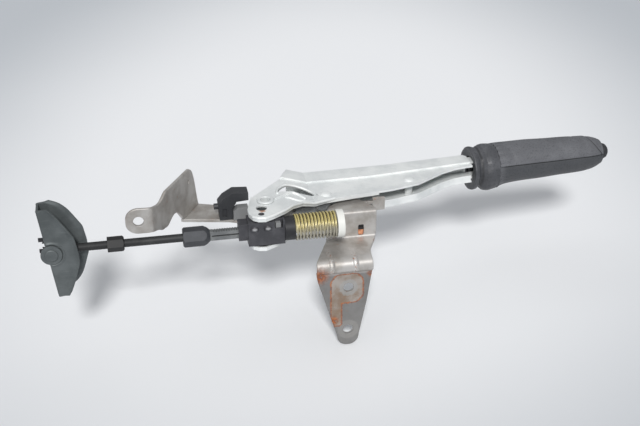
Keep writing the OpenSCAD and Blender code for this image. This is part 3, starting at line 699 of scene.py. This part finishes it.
def headings(line: np.ndarray) -> np.ndarray:
    """Unit directions along a line of points."""
    ahead = np.gradient(line, axis=0)
    return ahead / np.linalg.norm(ahead, axis=1, keepdims=True)


def bell(away: np.ndarray, width: float) -> np.ndarray:
    """Bell curve: the exponential of minus the square of a distance over a width."""
    return np.exp(-np.square(away / width))


def lay_grid(name: str, points: np.ndarray, rows_close: bool, columns_close: bool) -> bpy.types.Object:
    """Lays a grid of points as a smooth mesh with its faces outward.

    The faces join each point to its neighbours on the next row and column. The volume that they close says
    whether they point out, and the order of their corners is turned round if they don't.

    Args:
        name: Name of the piece.
        points: Points in millimetres, rows by columns by 3.
        rows_close: Whether the last row joins the first.
        columns_close: Whether the last column joins the first.

    Returns:
        The new object.
    """
    rows, columns = points.shape[:2]
    row = np.arange(rows if rows_close else rows - 1)[:, None]
    column = np.arange(columns if columns_close else columns - 1)[None, :]
    next_row, next_column = (row + 1) % rows, (column + 1) % columns
    corners = [(row, column), (row, next_column), (next_row, next_column), (next_row, column)]
    quads = np.stack([r * columns + c for r, c in corners], -1).reshape(-1, 4)
    flat = points.reshape(-1, 3) * MM
    a, b, c, d = (flat[quads[:, k]] for k in range(4))
    volume = np.einsum("ij,ij->", a, np.cross(b, c)) + np.einsum("ij,ij->", a, np.cross(c, d))
    if volume < 0:
        quads = quads[:, ::-1]
    mesh = bpy.data.meshes.new(name)
    mesh.from_pydata(flat.tolist(), [], quads.tolist())
    work = bmesh.new()
    work.from_mesh(mesh)
    bmesh.ops.remove_doubles(work, verts=work.verts, dist=SAME_PLACE)
    work.to_mesh(mesh)
    work.free()
    mesh.polygons.foreach_set("use_smooth", np.ones(len(mesh.polygons), bool))
    mesh.set_sharp_from_angle(angle=SHARP_EDGE)
    mesh.update()
    piece = bpy.data.objects.new(name, mesh)
    bpy.context.scene.collection.objects.link(piece)
    LOG.info("%s: %d faces", name, len(mesh.polygons))
    return piece


def capped(points: np.ndarray) -> np.ndarray:
    """Adds a row at each end with all its points in one place, which closes the piece there."""
    ends = points[[0, -1]].mean(axis=1, keepdims=True) * np.ones_like(points[:1])
    return np.concatenate([ends[:1], points, ends[1:]])


def squared(wave: np.ndarray, power: float) -> np.ndarray:
    """Sine or cosine pushed towards a square wave by a power below 1."""
    return np.sign(wave) * np.abs(wave) ** power


def bead(line: np.ndarray, radius: float) -> np.ndarray:
    """A circle carried along a line and closed at its ends.

    Args:
        line: Points of the line in millimetres.
        radius: Radius of the circle.

    Returns:
        Points in millimetres, stations by sides.
    """
    ahead = headings(line)
    beside = np.cross(ahead, np.array([0.0, 0.0, 1.0]))
    beside /= np.linalg.norm(beside, axis=1, keepdims=True)
    over = np.cross(beside, ahead)
    side = around(16)[None, :, None]
    ring = np.cos(side) * beside[:, None] + np.sin(side) * over[:, None]
    return capped(line[:, None] + radius * ring)


def eased(at: np.ndarray, places: list[float], values: list[float], width: int) -> np.ndarray:
    """Values between given places, smoothed by a rounded window.

    Args:
        at: Evenly spaced places.
        places: Places with known values.
        values: The known values.
        width: Half width of the window, in steps.

    Returns:
        Smoothed values.
    """
    window = np.hanning(2 * width + 3)[1:-1]
    padded = np.pad(np.interp(at, places, values), width, mode="edge")
    return np.convolve(padded, window / window.sum(), mode="valid")


def bent(
    first: list[float], second: list[float], step: float = 0.5, width: int = 13
) -> tuple[np.ndarray, np.ndarray, np.ndarray]:
    """Line of straight runs in a plane, smoothed at its bends.

    Args:
        first: First coordinates of its corners, in millimetres.
        second: Second coordinates.
        step: Distance between its points.
        width: Half width of the smoothing, in steps.

    Returns:
        Length along the line, its points and its unit directions.
    """
    corner = np.append(0, np.cumsum(np.hypot(np.diff(first), np.diff(second))))
    run = np.arange(0, corner[-1], step)
    line = np.stack([eased(run, corner, first, width), eased(run, corner, second, width)], -1)
    return run, line, headings(line)


def half_circle(run: np.ndarray, radius: float) -> np.ndarray:
    """Share of its full width that a sheet with a half round end has at each distance from that end."""
    return np.sqrt(1 - ((radius - run) / radius).clip(0, 1) ** 2)


def section(
    low: np.ndarray, high: np.ndarray, thick: float, chamfer: float = 0.5
) -> tuple[np.ndarray, np.ndarray]:
    """Flat section of a sheet with its four edges chamfered, at every station.

    Args:
        low: One edge of the sheet at each station.
        high: The other edge.
        thick: Thickness.
        chamfer: Width of the chamfers.

    Returns:
        Places across, stations by sides, and the depth of each side behind the face.
    """
    face, back = np.linspace(-1, 1, 121), np.linspace(1, -1, 13)
    share = np.concatenate([face, [1, 1], back, [-1, -1]])
    inset = np.concatenate([0 * face + chamfer, [0, 0], 0 * back + chamfer, [0, 0]])
    inner = thick - chamfer
    depth = np.concatenate([0 * face, [chamfer, inner], 0 * back + thick, [inner, chamfer]])
    half = (high - low)[:, None] / 2
    return (high + low)[:, None] / 2 + share * (half - inset), depth


def bar(middle: Point, wide: Point, tall: Point, half: Point, power: float = 1.0) -> np.ndarray:
    """Straight bar that cuts a hole: sines and cosines to a power, at its two ends.

    Args:
        middle: Its middle, in millimetres.
        wide: Half its width, as a vector.
        tall: Half its height, as a vector.
        half: Half its length, as a vector.
        power: 1 for round, less for square.

    Returns:
        Points, ends by sides.
    """
    angle = around(72)[:, None]
    loop = squared(np.cos(angle), power) * np.array(wide) + squared(np.sin(angle), power) * np.array(tall)
    return np.array(middle) + np.stack([loop - np.array(half), loop + np.array(half)])


def pierced(piece: bpy.types.Object, loops: list[np.ndarray]) -> None:
    """Cuts holes through a piece, each by a closed bar whose two ends are given.

    The bars go when their meshes are removed.

    Args:
        piece: The piece, whose mesh is closed.
        loops: Bars in millimetres, ends by sides by 3.
    """
    cutters = [lay_grid(f"{piece.name}_cutter", capped(loop), False, True) for loop in loops]
    for cutter in cutters:
        hole = piece.modifiers.new(cutter.name, "BOOLEAN")
        hole.operation, hole.solver, hole.object = "DIFFERENCE", "EXACT", cutter
    whole, graph = piece.data, bpy.context.evaluated_depsgraph_get()
    piece.data = bpy.data.meshes.new_from_object(piece.evaluated_get(graph))
    piece.modifiers.clear()
    piece.data.set_sharp_from_angle(angle=SHARP_EDGE)
    for mesh in [whole] + [cutter.data for cutter in cutters]:
        bpy.data.meshes.remove(mesh)


@dataclass(frozen=True)
class Coil:
    """Round wire wound about the X axis, with closed end turns."""

    length: float
    radius: float
    wire: float
    turns: int
    hand: Hand
    phase: float = 0.0

    def points(self) -> np.ndarray:
        """A circle carried along a helix whose pitch closes up at both ends.

        Returns:
            Points in millimetres, stations by sides.
        """
        turn = np.linspace(0, self.turns, self.turns * 36 + 1)
        free = self.length - 2 * self.wire
        dead, shut = 0.9, 1.9 * self.wire
        run = np.interp(turn, [0, dead, self.turns - dead, self.turns], [0, shut, free - shut, free])
        run = self.wire + np.convolve(np.pad(run, 6, mode="edge"), np.full(13, 1 / 13), mode="valid")
        angle = TURN * turn * self.hand.value + self.phase
        outward = np.stack([np.zeros_like(angle), np.cos(angle), np.sin(angle)], -1)
        line = outward * self.radius + np.stack([run, 0 * run, 0 * run], -1)
        beside = np.cross(headings(line), outward)
        side = around(14)[None, :, None]
        ring = np.cos(side) * outward[:, None] + np.sin(side) * beside[:, None]
        return capped(line[:, None] + self.wire * ring)


@dataclass
class SubAssembly:
    """Pieces of the lever that are dressed together."""

    frame: dict[str, Any]

    def finishes(self) -> dict[str, Finish]:
        """Finish of each solid that stays in view."""
        return {}

    def build(self) -> None:
        """Makes the pieces that stand for solids."""

    def dress(self) -> None:
        """Gives each solid its finish."""
        for node, finish in self.finishes().items():
            paint(self.frame["nodes"][node], finish)
            LOG.info("%s: %s", node, finish.name)


@dataclass
class Bracket(SubAssembly):
    """Stamped bracket with its pivot, ratchet and foot."""

    thick: float = 3.0
    least: float = 1.2
    foot_end: float = -69.0
    foot_round: float = 11.0
    bolt: float = 5.25
    slot: Point = (21.0, 41.0, 42.0)
    slot_half: tuple[float, float] = (3.0, 6.0)
    tongue_y: float = 41.2
    rib_rise: float = 1.1
    rib_half: float = 2.2
    leg_end: float = -214.0
    leg_round: float = 13.0
    eye: float = 5.0
    eye_x: float = -201.0
    eye_z: float = 95.5
    mark: Point = (-148.5, 69.3, 98.0)

    def finishes(self) -> dict[str, Finish]:
        """Bare plate, oiled ratchet and zinc plated pivot."""
        plain = {"base_plate": STEEL, "toothed_sector": OILED, "sector_rivets": OILED}
        return plain | {"pivot_rivet": ZINC, "pivot_spacers": DULL_ZINC}

    def foot(self) -> np.ndarray:
        """Pressed foot: a flat section carried up the wall, over the roll, along the tread and up again.

        Each station reaches from a left edge to a right one, closed by a half circle at the tip, and the
        sheet lies behind the path. Two ribs swell the roll as flat-topped bells in X. Stations that are too
        narrow are left out.

        Returns:
            Points in millimetres, stations by the section's sides.
        """
        lead, y = 1.25, [0, 0, -6, -6, -3.6, 2, 40, 40, 47.5]
        run, line, ahead = bent(y, [self.foot_end - lead, 18, 21, 27, 32, 34, 34, 63.5, 63.5])
        run = run - lead
        tip = half_circle(run, self.foot_round)
        left = tip * eased(run, [11, 77, 89, 107, 149, 178, 186], [-11, -31, -33, -33, -15, -14.7, -12], 6)
        places = [11, 52, 87, 112, 124, 139, 149, 155]
        right = tip * eased(run, places, [11, 19, 24, 23.4, 25, 32, 36.3, 37], 12)
        over = eased(run, [92, 95, 110, 114], [0, 1, 1, 0], 3)
        wide = right - left > self.least
        line, ahead, over = line[wide], ahead[wide], over[wide, None]
        x, depth = section(left[wide], right[wide], self.thick)
        over = over * (depth == 0)
        ribs = sum(np.exp(-(((x - at) / self.rib_half) ** 4)) for at in RIB_X)
        behind = depth - self.rib_rise * over * ribs
        return np.stack([x, line[:, :1] + behind * ahead[:, 1:], line[:, 1:] - behind * ahead[:, :1]], -1)

    def leg(self) -> np.ndarray:
        """Pressed leg: a flat section carried from the eye along the foot and up the slanting leg.

        Each station reaches from a lower edge to an upper one, closed by a half circle at the eye.

        Returns:
            Points in millimetres, stations by the section's sides.
        """
        lead = 0.6
        run, line, ahead = bent([self.leg_end - lead, -188.5, -138.0], [0, 0, 87.5])
        run = run - lead
        tip = half_circle(run, self.leg_round)
        places = [13, 25.5, 38, 46, 57, 64, 70, 78, 84, 90.5]
        low = eased(run, places, [82.5, 82.5, 79, 74.5, 73, 76.5, 79, 78, 72, 63.5], 7)
        places = [13, 26, 40, 46, 57, 109, 114.5, 119, 121.5, 125.5]
        high = eased(run, places, [108.5, 108, 104.5, 105, 110.6, 110.6, 106.5, 94, 78, 63.9], 6)
        low, high = (self.eye_z + tip * (edge - self.eye_z) for edge in (low, high))
        wide = high - low > self.least
        line, ahead = line[wide], ahead[wide]
        z, depth = section(low[wide], high[wide], self.thick)
        return np.stack([line[:, :1] - depth * ahead[:, 1:], line[:, 1:] + depth * ahead[:, :1], z], -1)

    def build(self) -> None:
        """Pressed foot and leg in the place of their plain solids, and the tongue in the foot's slot."""
        through = (0, 6, 0)
        bolts = [bar((0, 2, z), (self.bolt, 0, 0), (0, 0, self.bolt), through) for z in (0, -BOLT_PITCH)]
        slot = bar(self.slot, (self.slot_half[0], 0, 0), (0, 0, self.slot_half[1]), (0, 9, 0), 0.3)
        eye = bar((self.eye_x, 2, self.eye_z), (self.eye, 0, 0), (0, 0, self.eye), through)
        mark = bar(self.mark, (1, 1.73, 0), (0, 0, 2.6), (6.9, -4, 0))
        for name, points, holes, finish, node in (
            ("pressed_foot", self.foot(), [*bolts, slot], FOOT_STEEL, "front_foot"),
            ("pressed_leg", self.leg(), [eye, mark], STEEL, "rear_leg"),
        ):
            piece = lay_grid(name, capped(points), False, True)
            pierced(piece, holes)
            paint(piece, finish)
            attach(piece, "base")
            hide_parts(node)
        self.tongue()

    def tongue(self) -> None:
        """Tongue in the slot: a rounded block from powers of sine and cosine, set back above the middle."""
        power, (half_wide, half_tall) = 0.45, (half - 0.1 for half in self.slot_half)
        up = np.linspace(-math.pi / 2, math.pi / 2, 61)[:, None]
        side = around(48)[None, :]
        swell = squared(np.cos(up), power)
        x = self.slot[0] + half_wide * swell * squared(np.cos(side), power)
        y = self.tongue_y + 0.7 * swell * squared(np.sin(side), power) + 0.9 * (up > 0.25)
        z = self.slot[2] + half_tall * squared(np.sin(up), power) * np.ones_like(side)
        tongue = lay_grid("slot_tongue", np.stack([x, y, z], -1), False, True)
        paint(tongue, COPPER)
        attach(tongue, "base")


@dataclass
class BrakeSwitch(SubAssembly):
    """Warning lamp switch with its sprung plunger."""

    def finishes(self) -> dict[str, Finish]:
        """Black body and grey plunger."""
        return {"switch_body": BLACK_PLASTIC, "switch_plunger": GREY_PLASTIC}


@dataclass
class LeverArm(SubAssembly):
    """Two cheeks and the spine channel, with their rivets, and the pawl between them."""

    lip_low: float = 53.6
    lip_wide: float = 6.5

    def finishes(self) -> dict[str, Finish]:
        """Bright zinc outside, oiled steel inside."""
        outer = dict.fromkeys(("cheek_right", "cheek_left", "spine_channel", "cross_rivets"), ZINC)
        return outer | dict.fromkeys(("pawl", "release_rod"), OILED)

    def outer_face(self, x: np.ndarray) -> np.ndarray:
        """Height of the upper cheek's outer face, which steps down along the flare."""
        return np.interp(x, [-50.0, -25.0], [80.0, 72.0])

    def eye(self) -> np.ndarray:
        """Raised rim round the window: an oval carried on the cheek's face, open at its lower left.

        Returns:
            Points of its middle line, in millimetres.
        """
        angle = np.linspace(-2.3, 3.3, 120)
        x, y = -41.0 + 20.0 * np.cos(angle), 65.0 + 16.5 * np.sin(angle)
        return np.stack([x, y, self.outer_face(x)], -1)

    def hook(self) -> np.ndarray:
        """Pressed rib from the pivot up into the oval and down again, as an eased line through five places.

        Returns:
            Points of its middle line, in millimetres.
        """
        x = np.linspace(-66.0, -33.0, 90)
        y = eased(x, [-66, -57, -46, -40, -33], [50, 56.5, 64.6, 63, 55], 8)
        return np.stack([x, y, self.outer_face(x)], -1)

    def nose_lip(self) -> np.ndarray:
        """Rolled edge under the nose, as an eased line along the cheek's outline.

        Returns:
            Points of its middle line, in millimetres.
        """
        step = np.linspace(0, 1, 160)
        places = [0, 0.06, 0.13, 0.21, 0.33, 0.6, 1]
        x = eased(step, places, [-92, -87, -80, -71, -58, -38, -2], 4)
        y = eased(step, places, [18.6, 14.6, 13.4, 18.0, 27.0, 45.8, 57.5], 4)
        return np.stack([x, y, self.outer_face(x) - 0.5], -1)

    def lip(self) -> np.ndarray:
        """Lip turned in along the lower cheek's edge: a rounded bar section carried along that edge.

        Returns:
            Points in millimetres, stations by sides.
        """
        x = np.linspace(46.0, 157.0, 140)
        y = eased(x, [46, 60, 90, 121, 137, 152, 157], [62.9, 65, 73, 92.7, 99.7, 102.7, 103.2], 3)
        slope = np.gradient(y, x)
        up = np.stack([-slope, np.ones_like(slope)], -1) / np.hypot(slope, 1.0)[:, None]
        side = around(40)
        rise = 1.0 + 0.8 * squared(np.sin(side), 0.3)
        height = self.lip_low + self.lip_wide * (0.5 + 0.5 * squared(np.cos(side), 0.3))
        flat = np.stack([x, y], -1)[:, None] + up[:, None] * rise[None, :, None]
        return capped(np.concatenate([flat, (height[None, :] * np.ones((len(x), 1)))[..., None]], -1))

    def build(self) -> None:
        """Rim, rib and lips that the plain cheeks lack."""
        pieces = {
            "window_rim": bead(self.eye(), 1.5),
            "nose_rib": bead(self.hook(), 1.6),
            "nose_lip": bead(self.nose_lip(), 1.7),
            "cheek_lip": self.lip(),
        }
        for name, points in pieces.items():
            piece = lay_grid(name, points, False, True)
            paint(piece, ZINC)
            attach(piece, "lever")


@dataclass
class LeatherGrip(SubAssembly):
    """Grip: plastic core, stitched leather sleeve, gathered collar and the release button."""

    start: Point = GRIP_START
    tilt: float = GRIP_TILT
    length: float = 154.0
    core: float = 17.0
    mouth: float = 10.6
    seam: float = 25.0
    seam_angle: float = SEAM_ANGLE
    droop: float = 2.5
    spring_start: float = 118.0
    spring_end: float = 146.0

    def finishes(self) -> dict[str, Finish]:
        """Plastic core and button."""
        return {"grip_core": BLACK_PLASTIC, "release_button": BUTTON_PLASTIC}

    def placed(self, along: np.ndarray, radius: np.ndarray, angle: np.ndarray) -> np.ndarray:
        """Points along the grip's tilted axis, out by a radius, at an angle up from the near side.

        Args:
            along: Distance along the axis.
            radius: Distance out of the axis.
            angle: Angle in radians, 0 at the near side and a quarter turn at the top.

        Returns:
            Points in millimetres.
        """
        lean = math.radians(self.tilt)
        across = -radius * np.cos(angle)
        x = self.start[0] + along * math.cos(lean) - across * math.sin(lean)
        y = self.start[1] + along * math.sin(lean) + across * math.cos(lean)
        z = self.start[2] + radius * np.sin(angle)
        return np.stack(np.broadcast_arrays(x, y, z), -1)

    def sleeve(self) -> bpy.types.Object:
        """Leather sleeve: a turned outline with a lapped seam, an end hood, puckers and soft dents.

        The lap lowers one side of the seam by a smooth step of the distance round the grip. The hood's edge
        is a groove where the distance along meets a sine of the angle. Puckers die away from the collar.

        Returns:
            The sleeve.
        """
        angle = around(300)[:, None]
        out = np.linspace(self.seam, self.length - 0.6, 170)[None, :]
        places = [25, 35, 65, 105, 134, 142, 147, 150.5, 152.6, 153.4]
        radius = eased(out[0], places, [23, 23, 22.3, 20.9, 19.8, 18.5, 16.8, 15.3, 13.6, 11.8], 2)[None, :]
        radius = radius + (1.6 - self.droop * np.sin(angle - 0.15)) * np.exp(-(out - self.seam) / 6)
        lie = math.radians(self.seam_angle) - SEAM_DRIFT * (out - SEAM_MIDDLE)
        round_ = (np.mod(angle - lie + math.pi, TURN) - math.pi) * radius
        below = 1 / (1 + np.exp(round_ / 0.35))
        lap = -1.2 * below * bell(np.minimum(round_, 0), 14)
        groove = -1.1 * bell(round_, 0.8)
        hood_at = HOOD_AT - HOOD_DIP * np.clip(np.sin(angle - math.radians(16)), 0, 1)
        upper = np.clip(np.sin(angle) * 3 + 0.4, 0, 1)
        hood = -0.8 * bell(out - hood_at, 0.8) * upper
        hood_step = -0.6 / (1 + np.exp((hood_at - out) / 0.5)) * upper
        near_collar = np.exp(-(out - self.seam) / 8)
        pucker = 0.45 * near_collar * np.sin(26 * angle + 1.7 * np.sin(3 * angle))
        dents = 0.28 * np.sin(0.1 * out + 2.1 * np.sin(angle + 0.5)) * np.cos(2 * angle + 0.04 * out)
        crease = -0.7 * bell(out - 36 - 5 * np.sin(angle * 2 + 0.6), 4.5) * np.cos(angle - 0.9) ** 4
        fold = -0.45 * bell(out - 128 - 9 * np.cos(angle + 0.4), 1.8) * np.sin(angle - 0.2) ** 4
        skin = radius + lap + groove + hood + hood_step + pucker + dents + crease + fold
        skin = np.maximum(skin, self.mouth + 0.3)
        end, wall = self.length - 1.9, self.core + 0.1
        back = np.array([[self.length - 0.8, end, end, self.length - 12, 80.0, self.seam]])
        inner = np.array([[self.mouth, self.mouth, self.core - 2.9, wall, wall, wall]])
        along = np.concatenate([out, back], 1) * np.ones_like(angle)
        rim = np.concatenate([skin, inner * np.ones_like(angle)], 1)
        return lay_grid("leather_sleeve", self.placed(along, rim, angle * np.ones_like(along)), True, True)

    def collar(self) -> bpy.types.Object:
        """Gathered leather collar: two rolled ridges that droop below, with small folds round them.

        The outline is a turned one whose radius grows towards the lower side as the sine of the angle, and
        whose folds are sines of the angle that shift along the collar.

        Returns:
            The collar.
        """
        angle = around(300)[:, None]
        step = np.linspace(0, 1, 110)[None, :]
        end = self.seam - 0.3
        out = eased(step[0], [0, 0.08, 0.17, 0.5, 0.9, 1], [-1.6, -3.6, -3.4, 9, 23, end], 3)[None, :]
        places = [0, 0.05, 0.12, 0.2, 0.29, 0.36, 0.42, 0.54, 0.68, 0.8, 0.9, 1]
        values = [11.0, 16.5, 22.4, 23.8, 23.2, 21.0, 21.4, 25.0, 25.8, 25.4, 24.8, 24.6]
        radius = eased(step[0], places, values, 2)[None, :]
        ridge = np.clip((radius - 19) / 4, 0, 1)
        droop = -self.droop * np.sin(angle - 0.15) * ridge
        folds = 0.4 * np.sin(7 * angle + 5 * step + 0.8 * np.sin(2 * angle)) * np.sin(math.pi * step)
        ripple = 0.16 * np.sin(15 * angle - 9 * step) * np.sin(math.pi * step)
        skin = radius + droop + folds + ripple
        back = np.array([[end, 12.0, 0.0, -0.9]])
        inner = np.full((1, 4), self.core + 0.1)
        along = np.concatenate([out, back], 1) * np.ones_like(angle)
        rim = np.concatenate([skin, inner * np.ones_like(angle)], 1)
        return lay_grid("gathered_collar", self.placed(along, rim, angle * np.ones_like(along)), True, True)

    def spring(self) -> None:
        """Return spring of the button, between the lever and the button."""
        turn = Coil(self.spring_end - self.spring_start, 4.25, 0.6, 6, Hand.RIGHT).points()
        reach, angle = np.hypot(turn[..., 1], turn[..., 2]), np.arctan2(turn[..., 2], turn[..., 1])
        points = self.placed(turn[..., 0] + self.spring_start, reach, angle)
        piece = lay_grid("button_coil", points, False, True)
        paint(piece, OILED)
        still = np.zeros(2)
        start, end = self.placed(np.array([self.spring_start, self.spring_end]), still, still) * MM
        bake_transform(piece)
        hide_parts("button_spring")

    def build(self) -> None:
        """Leather sleeve, collar and button spring, in the place of their plain solids."""
        self.spring()
        for piece, node, fill in ((self.sleeve(), "grip_sleeve", 0.9), (self.collar(), "gaiter_collar", 0.5)):
            # The collar gets the darker leather, which is painted shade.
            paint(piece, LEATHER if node == "grip_sleeve" else SHADED_GATHERED)
            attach(piece, "lever")
            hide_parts(node)


@dataclass
class Adjuster(SubAssembly):
    """Self-adjuster: housing on its swivel, toothed bar and the nested take-up spring."""

    axis_y: float = 22.0
    axis_z: float = 62.0
    rear: float = -51.0
    front: float = -9.0
    radii: tuple[float, float] = (12.6, 10.9)
    wire: float = 0.8
    turns: int = 13

    def finishes(self) -> dict[str, Finish]:
        """Dark housing, grey wedge, oiled bar and white collar."""
        case = {"adjuster_housing": HOUSING, "housing_cap": BLACK_STEEL, "lock_wedge": GREY_PLASTIC}
        return case | {"adjuster_bar": OILED, "spring_collar": WHITE_PLASTIC}

    def build(self) -> None:
        """Two coils of opposite hand, one inside the other, between the housing and the rod."""
        length = self.front - self.rear
        outer = Coil(length, self.radii[0], self.wire, self.turns, Hand.RIGHT)
        inner = Coil(length, self.radii[1], self.wire, self.turns, Hand.LEFT, math.pi)
        for name, coil in (("outer_coil", outer), ("inner_coil", inner)):
            moved = coil.points() + np.array([self.rear, self.axis_y, self.axis_z])
            piece = lay_grid(name, moved, False, True)
            paint(piece, SPRING_WIRE)
            start, end = ((x * MM, self.axis_y * MM, self.axis_z * MM) for x in (self.rear, self.front))
            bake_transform(piece)
            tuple(start)
            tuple(end)
            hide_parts("take_up_spring")


@dataclass
class PullRod(SubAssembly):
    """Tie rod with its coupling nut and lock nut."""

    def finishes(self) -> dict[str, Finish]:
        """Dark rod, grey coupling nut, black lock nut."""
        return {"tie_rod": ROD_STEEL, "coupling_nut": NUT_STEEL, "lock_nut": BLACK_OXIDE}


@dataclass
class Equaliser(SubAssembly):
    """Folded yoke that rocks on its trunnion."""

    pin: Point = (-284.0, 22.0, 62.0)
    lean: float = 7.0
    half: float = 47.0
    back: float = -4.0
    width: float = 19.0
    thick: float = 2.5
    hole: float = 6.6
    ring: float = 1.1
    ring_at: float = 11.7
    ring_half: float = 1.1
    curl: float = 1.5
    bend: float = 2.2

    def finishes(self) -> dict[str, Finish]:
        """Grey zinc with a black clip."""
        return {"yoke_back": DULL_ZINC, "trunnion": DULL_ZINC, "retaining_clip": BLACK_STEEL}

    def plate(self, side: Side, reach: float) -> np.ndarray:
        """One formed plate: a rounded outline, a raised ring round the pin and a free edge curled outward.

        At each height the plate runs from its bent edge, or the pin's hole, to its free edge. The ring is a
        bell curve of the distance to the pin, the curl a square of the distance to the free edge, and the
        bent edge is rounded by a quarter circle.

        Args:
            side: Which side of the rod the plate lies on.
            reach: How much further the free edge goes than the plain outline.

        Returns:
            Points in millimetres, heights by places round the section.
        """
        high = np.concatenate([[-self.half], np.linspace(0.4 - self.half, self.half - 0.4, 180), [self.half]])
        free = eased(np.abs(high), [0, 14, 35, 44, 47], [24, 23.2, 13.6, 8.6, 5.6], 6)
        free = (free + reach * np.clip(1 - (np.abs(high) / (self.half + 1)) ** 9, 0, 1))[:, None]
        z = high[:, None]
        hole = np.sqrt(np.clip(self.hole**2 - z**2, 0, None))
        inner = np.where(np.abs(z) < self.hole, hole, self.back)
        x = inner + (free - inner) * np.linspace(0, 1, 30)[None, :]
        ring = self.ring * bell(np.hypot(x, z) - self.ring_at, self.ring_half)
        curl = self.curl * np.clip(1 - (free - x) / 5, 0, 1) ** 2
        fold = np.clip(self.bend - (x - self.back), 0, self.bend)
        sunk = self.bend - np.sqrt(self.bend**2 - fold**2)
        round_ = np.linspace(math.pi / 2, -math.pi / 2, 9)[None, 1:-1]
        edge_x = free + 0.9 * np.cos(round_)
        edge_y = curl[:, -1:] + self.thick / 2 * np.sin(round_)
        face, back = self.thick / 2 + ring + curl - sunk, curl - self.thick / 2
        outward = np.concatenate([face, edge_y, back[:, ::-1]], 1)
        along = np.concatenate([x, edge_x, x[:, ::-1]], 1)
        lean = math.radians(self.lean)
        y = side.value * (self.width / 2 - self.thick / 2 + outward)
        tilted = along * math.cos(lean) - z * math.sin(lean), along * math.sin(lean) + z * math.cos(lean)
        return capped(np.stack(np.broadcast_arrays(tilted[0], y, tilted[1]), -1) + np.array(self.pin))

    def build(self) -> None:
        """Two formed plates in the place of the plain ones."""
        for side, node, reach in ((Side.NEAR, "yoke_plate_near", 0.0), (Side.FAR, "yoke_plate_far", 8.5)):
            piece = lay_grid("formed_" + node, self.plate(side, reach), False, True)
            paint(piece, DULL_ZINC)
            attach(piece, "equaliser")
            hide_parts(node)


@dataclass
class Studio:
    """Pale floor, soft lights and the camera at the photograph's angle."""

    floor_z: float
    azimuth: float = -11.0
    elevation: float = 28.0
    depth: float = 1100.0
    focal: float = 1100.0
    origin_at: tuple[float, float] = (348.7, 287.4)
    key_rise: float = 40.0
    key_turn: float = 10.0
    key_angle: float = 10.0
    key_power: float = 2.7
    sky_power: float = 0.38

    def build(self) -> None:
        """Sets the floor, the lights and the camera."""
        self.floor()
        self.lights()
        self.camera()

    def floor(self) -> None:
        """Flat board, wide enough to fill the view."""
        side = np.linspace(-4000.0, 4000.0, 9)
        x, y = np.meshgrid(side, side, indexing="ij")
        board = lay_grid("floor", np.stack([x, y, np.full_like(x, self.floor_z)], -1), False, False)
        if board.data.polygons[0].normal.z < 0:
            board.data.flip_normals()
        paint(board, BOARD)
        board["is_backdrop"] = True

    def lights(self) -> None:
        """Wide overhead lamp, a soft frontal sun and an even sky."""
        over = bpy.data.lights.new("overhead", "AREA")
        over.shape, over.size, over.energy = "SQUARE", 1.6, 4.0
        place = Vector((-0.1, 0.5, 1.8))
        down = Vector((-0.05, 0.05, 0.0)) - place
        key = bpy.data.lights.new("frontal", "SUN")
        key.energy, key.angle = self.key_power, math.radians(self.key_angle)
        turn, rise = math.radians(self.key_turn), math.radians(self.key_rise)
        slant = Vector((math.sin(turn) * math.cos(rise), math.cos(turn) * math.cos(rise), -math.sin(rise)))
        for light, where, ray in ((over, place, down), (key, Vector(), slant)):
            light.color = (1.0, 0.995, 0.985)
            lamp = bpy.data.objects.new(light.name, light)
            lamp.location = where
            lamp.rotation_euler = ray.to_track_quat("-Z", "Y").to_euler()
            bpy.context.scene.collection.objects.link(lamp)
        world = bpy.data.worlds.new("sky")
        world.use_nodes = True
        sky = world.node_tree.nodes["Background"]
        sky.inputs["Color"].default_value = (0.93, 0.96, 1.0, 1.0)
        sky.inputs["Strength"].default_value = self.sky_power
        bpy.context.scene.world = world

    def camera(self) -> None:
        """Camera whose focal length and place put the part where the photograph shows it."""
        turn, rise = math.radians(self.azimuth), math.radians(self.elevation)
        back = Vector((math.sin(turn) * math.cos(rise), -math.cos(turn) * math.cos(rise), math.sin(rise)))
        right = Vector((math.cos(turn), math.sin(turn), 0.0))
        up = back.cross(right)
        aside = (self.origin_at[0] - IMAGE[0] / 2) * self.depth / self.focal
        below = (self.origin_at[1] - IMAGE[1] / 2) * self.depth / self.focal
        lens = bpy.data.cameras.new("camera")
        lens.sensor_width = 36.0
        lens.lens = self.focal / IMAGE[0] * lens.sensor_width
        lens.clip_start, lens.clip_end = 0.05, 50.0
        eye = bpy.data.objects.new("camera", lens)
        turned = Matrix((right, up, back)).transposed().to_4x4()
        place = (back * self.depth - right * aside + up * below) * MM
        eye.matrix_world = Matrix.Translation(place) @ turned
        bpy.context.scene.collection.objects.link(eye)
        bpy.context.scene.camera = eye


def main() -> None:
    """Builds the sub-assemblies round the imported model."""
    logging.basicConfig(level=logging.INFO, format="%(name)s %(message)s")
    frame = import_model()
    solid_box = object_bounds()
    bpy.context.scene.view_settings.view_transform = "Standard"
    Studio(solid_box[0].z / MM).build()
    for kind in (Bracket, BrakeSwitch, LeverArm, LeatherGrip, Adjuster, PullRod, Equaliser):
        assembly = kind(frame)
        assembly.build()
        assembly.dress()
        LOG.info("%s is dressed", kind.__name__)


if __name__ == "__main__":
    main()
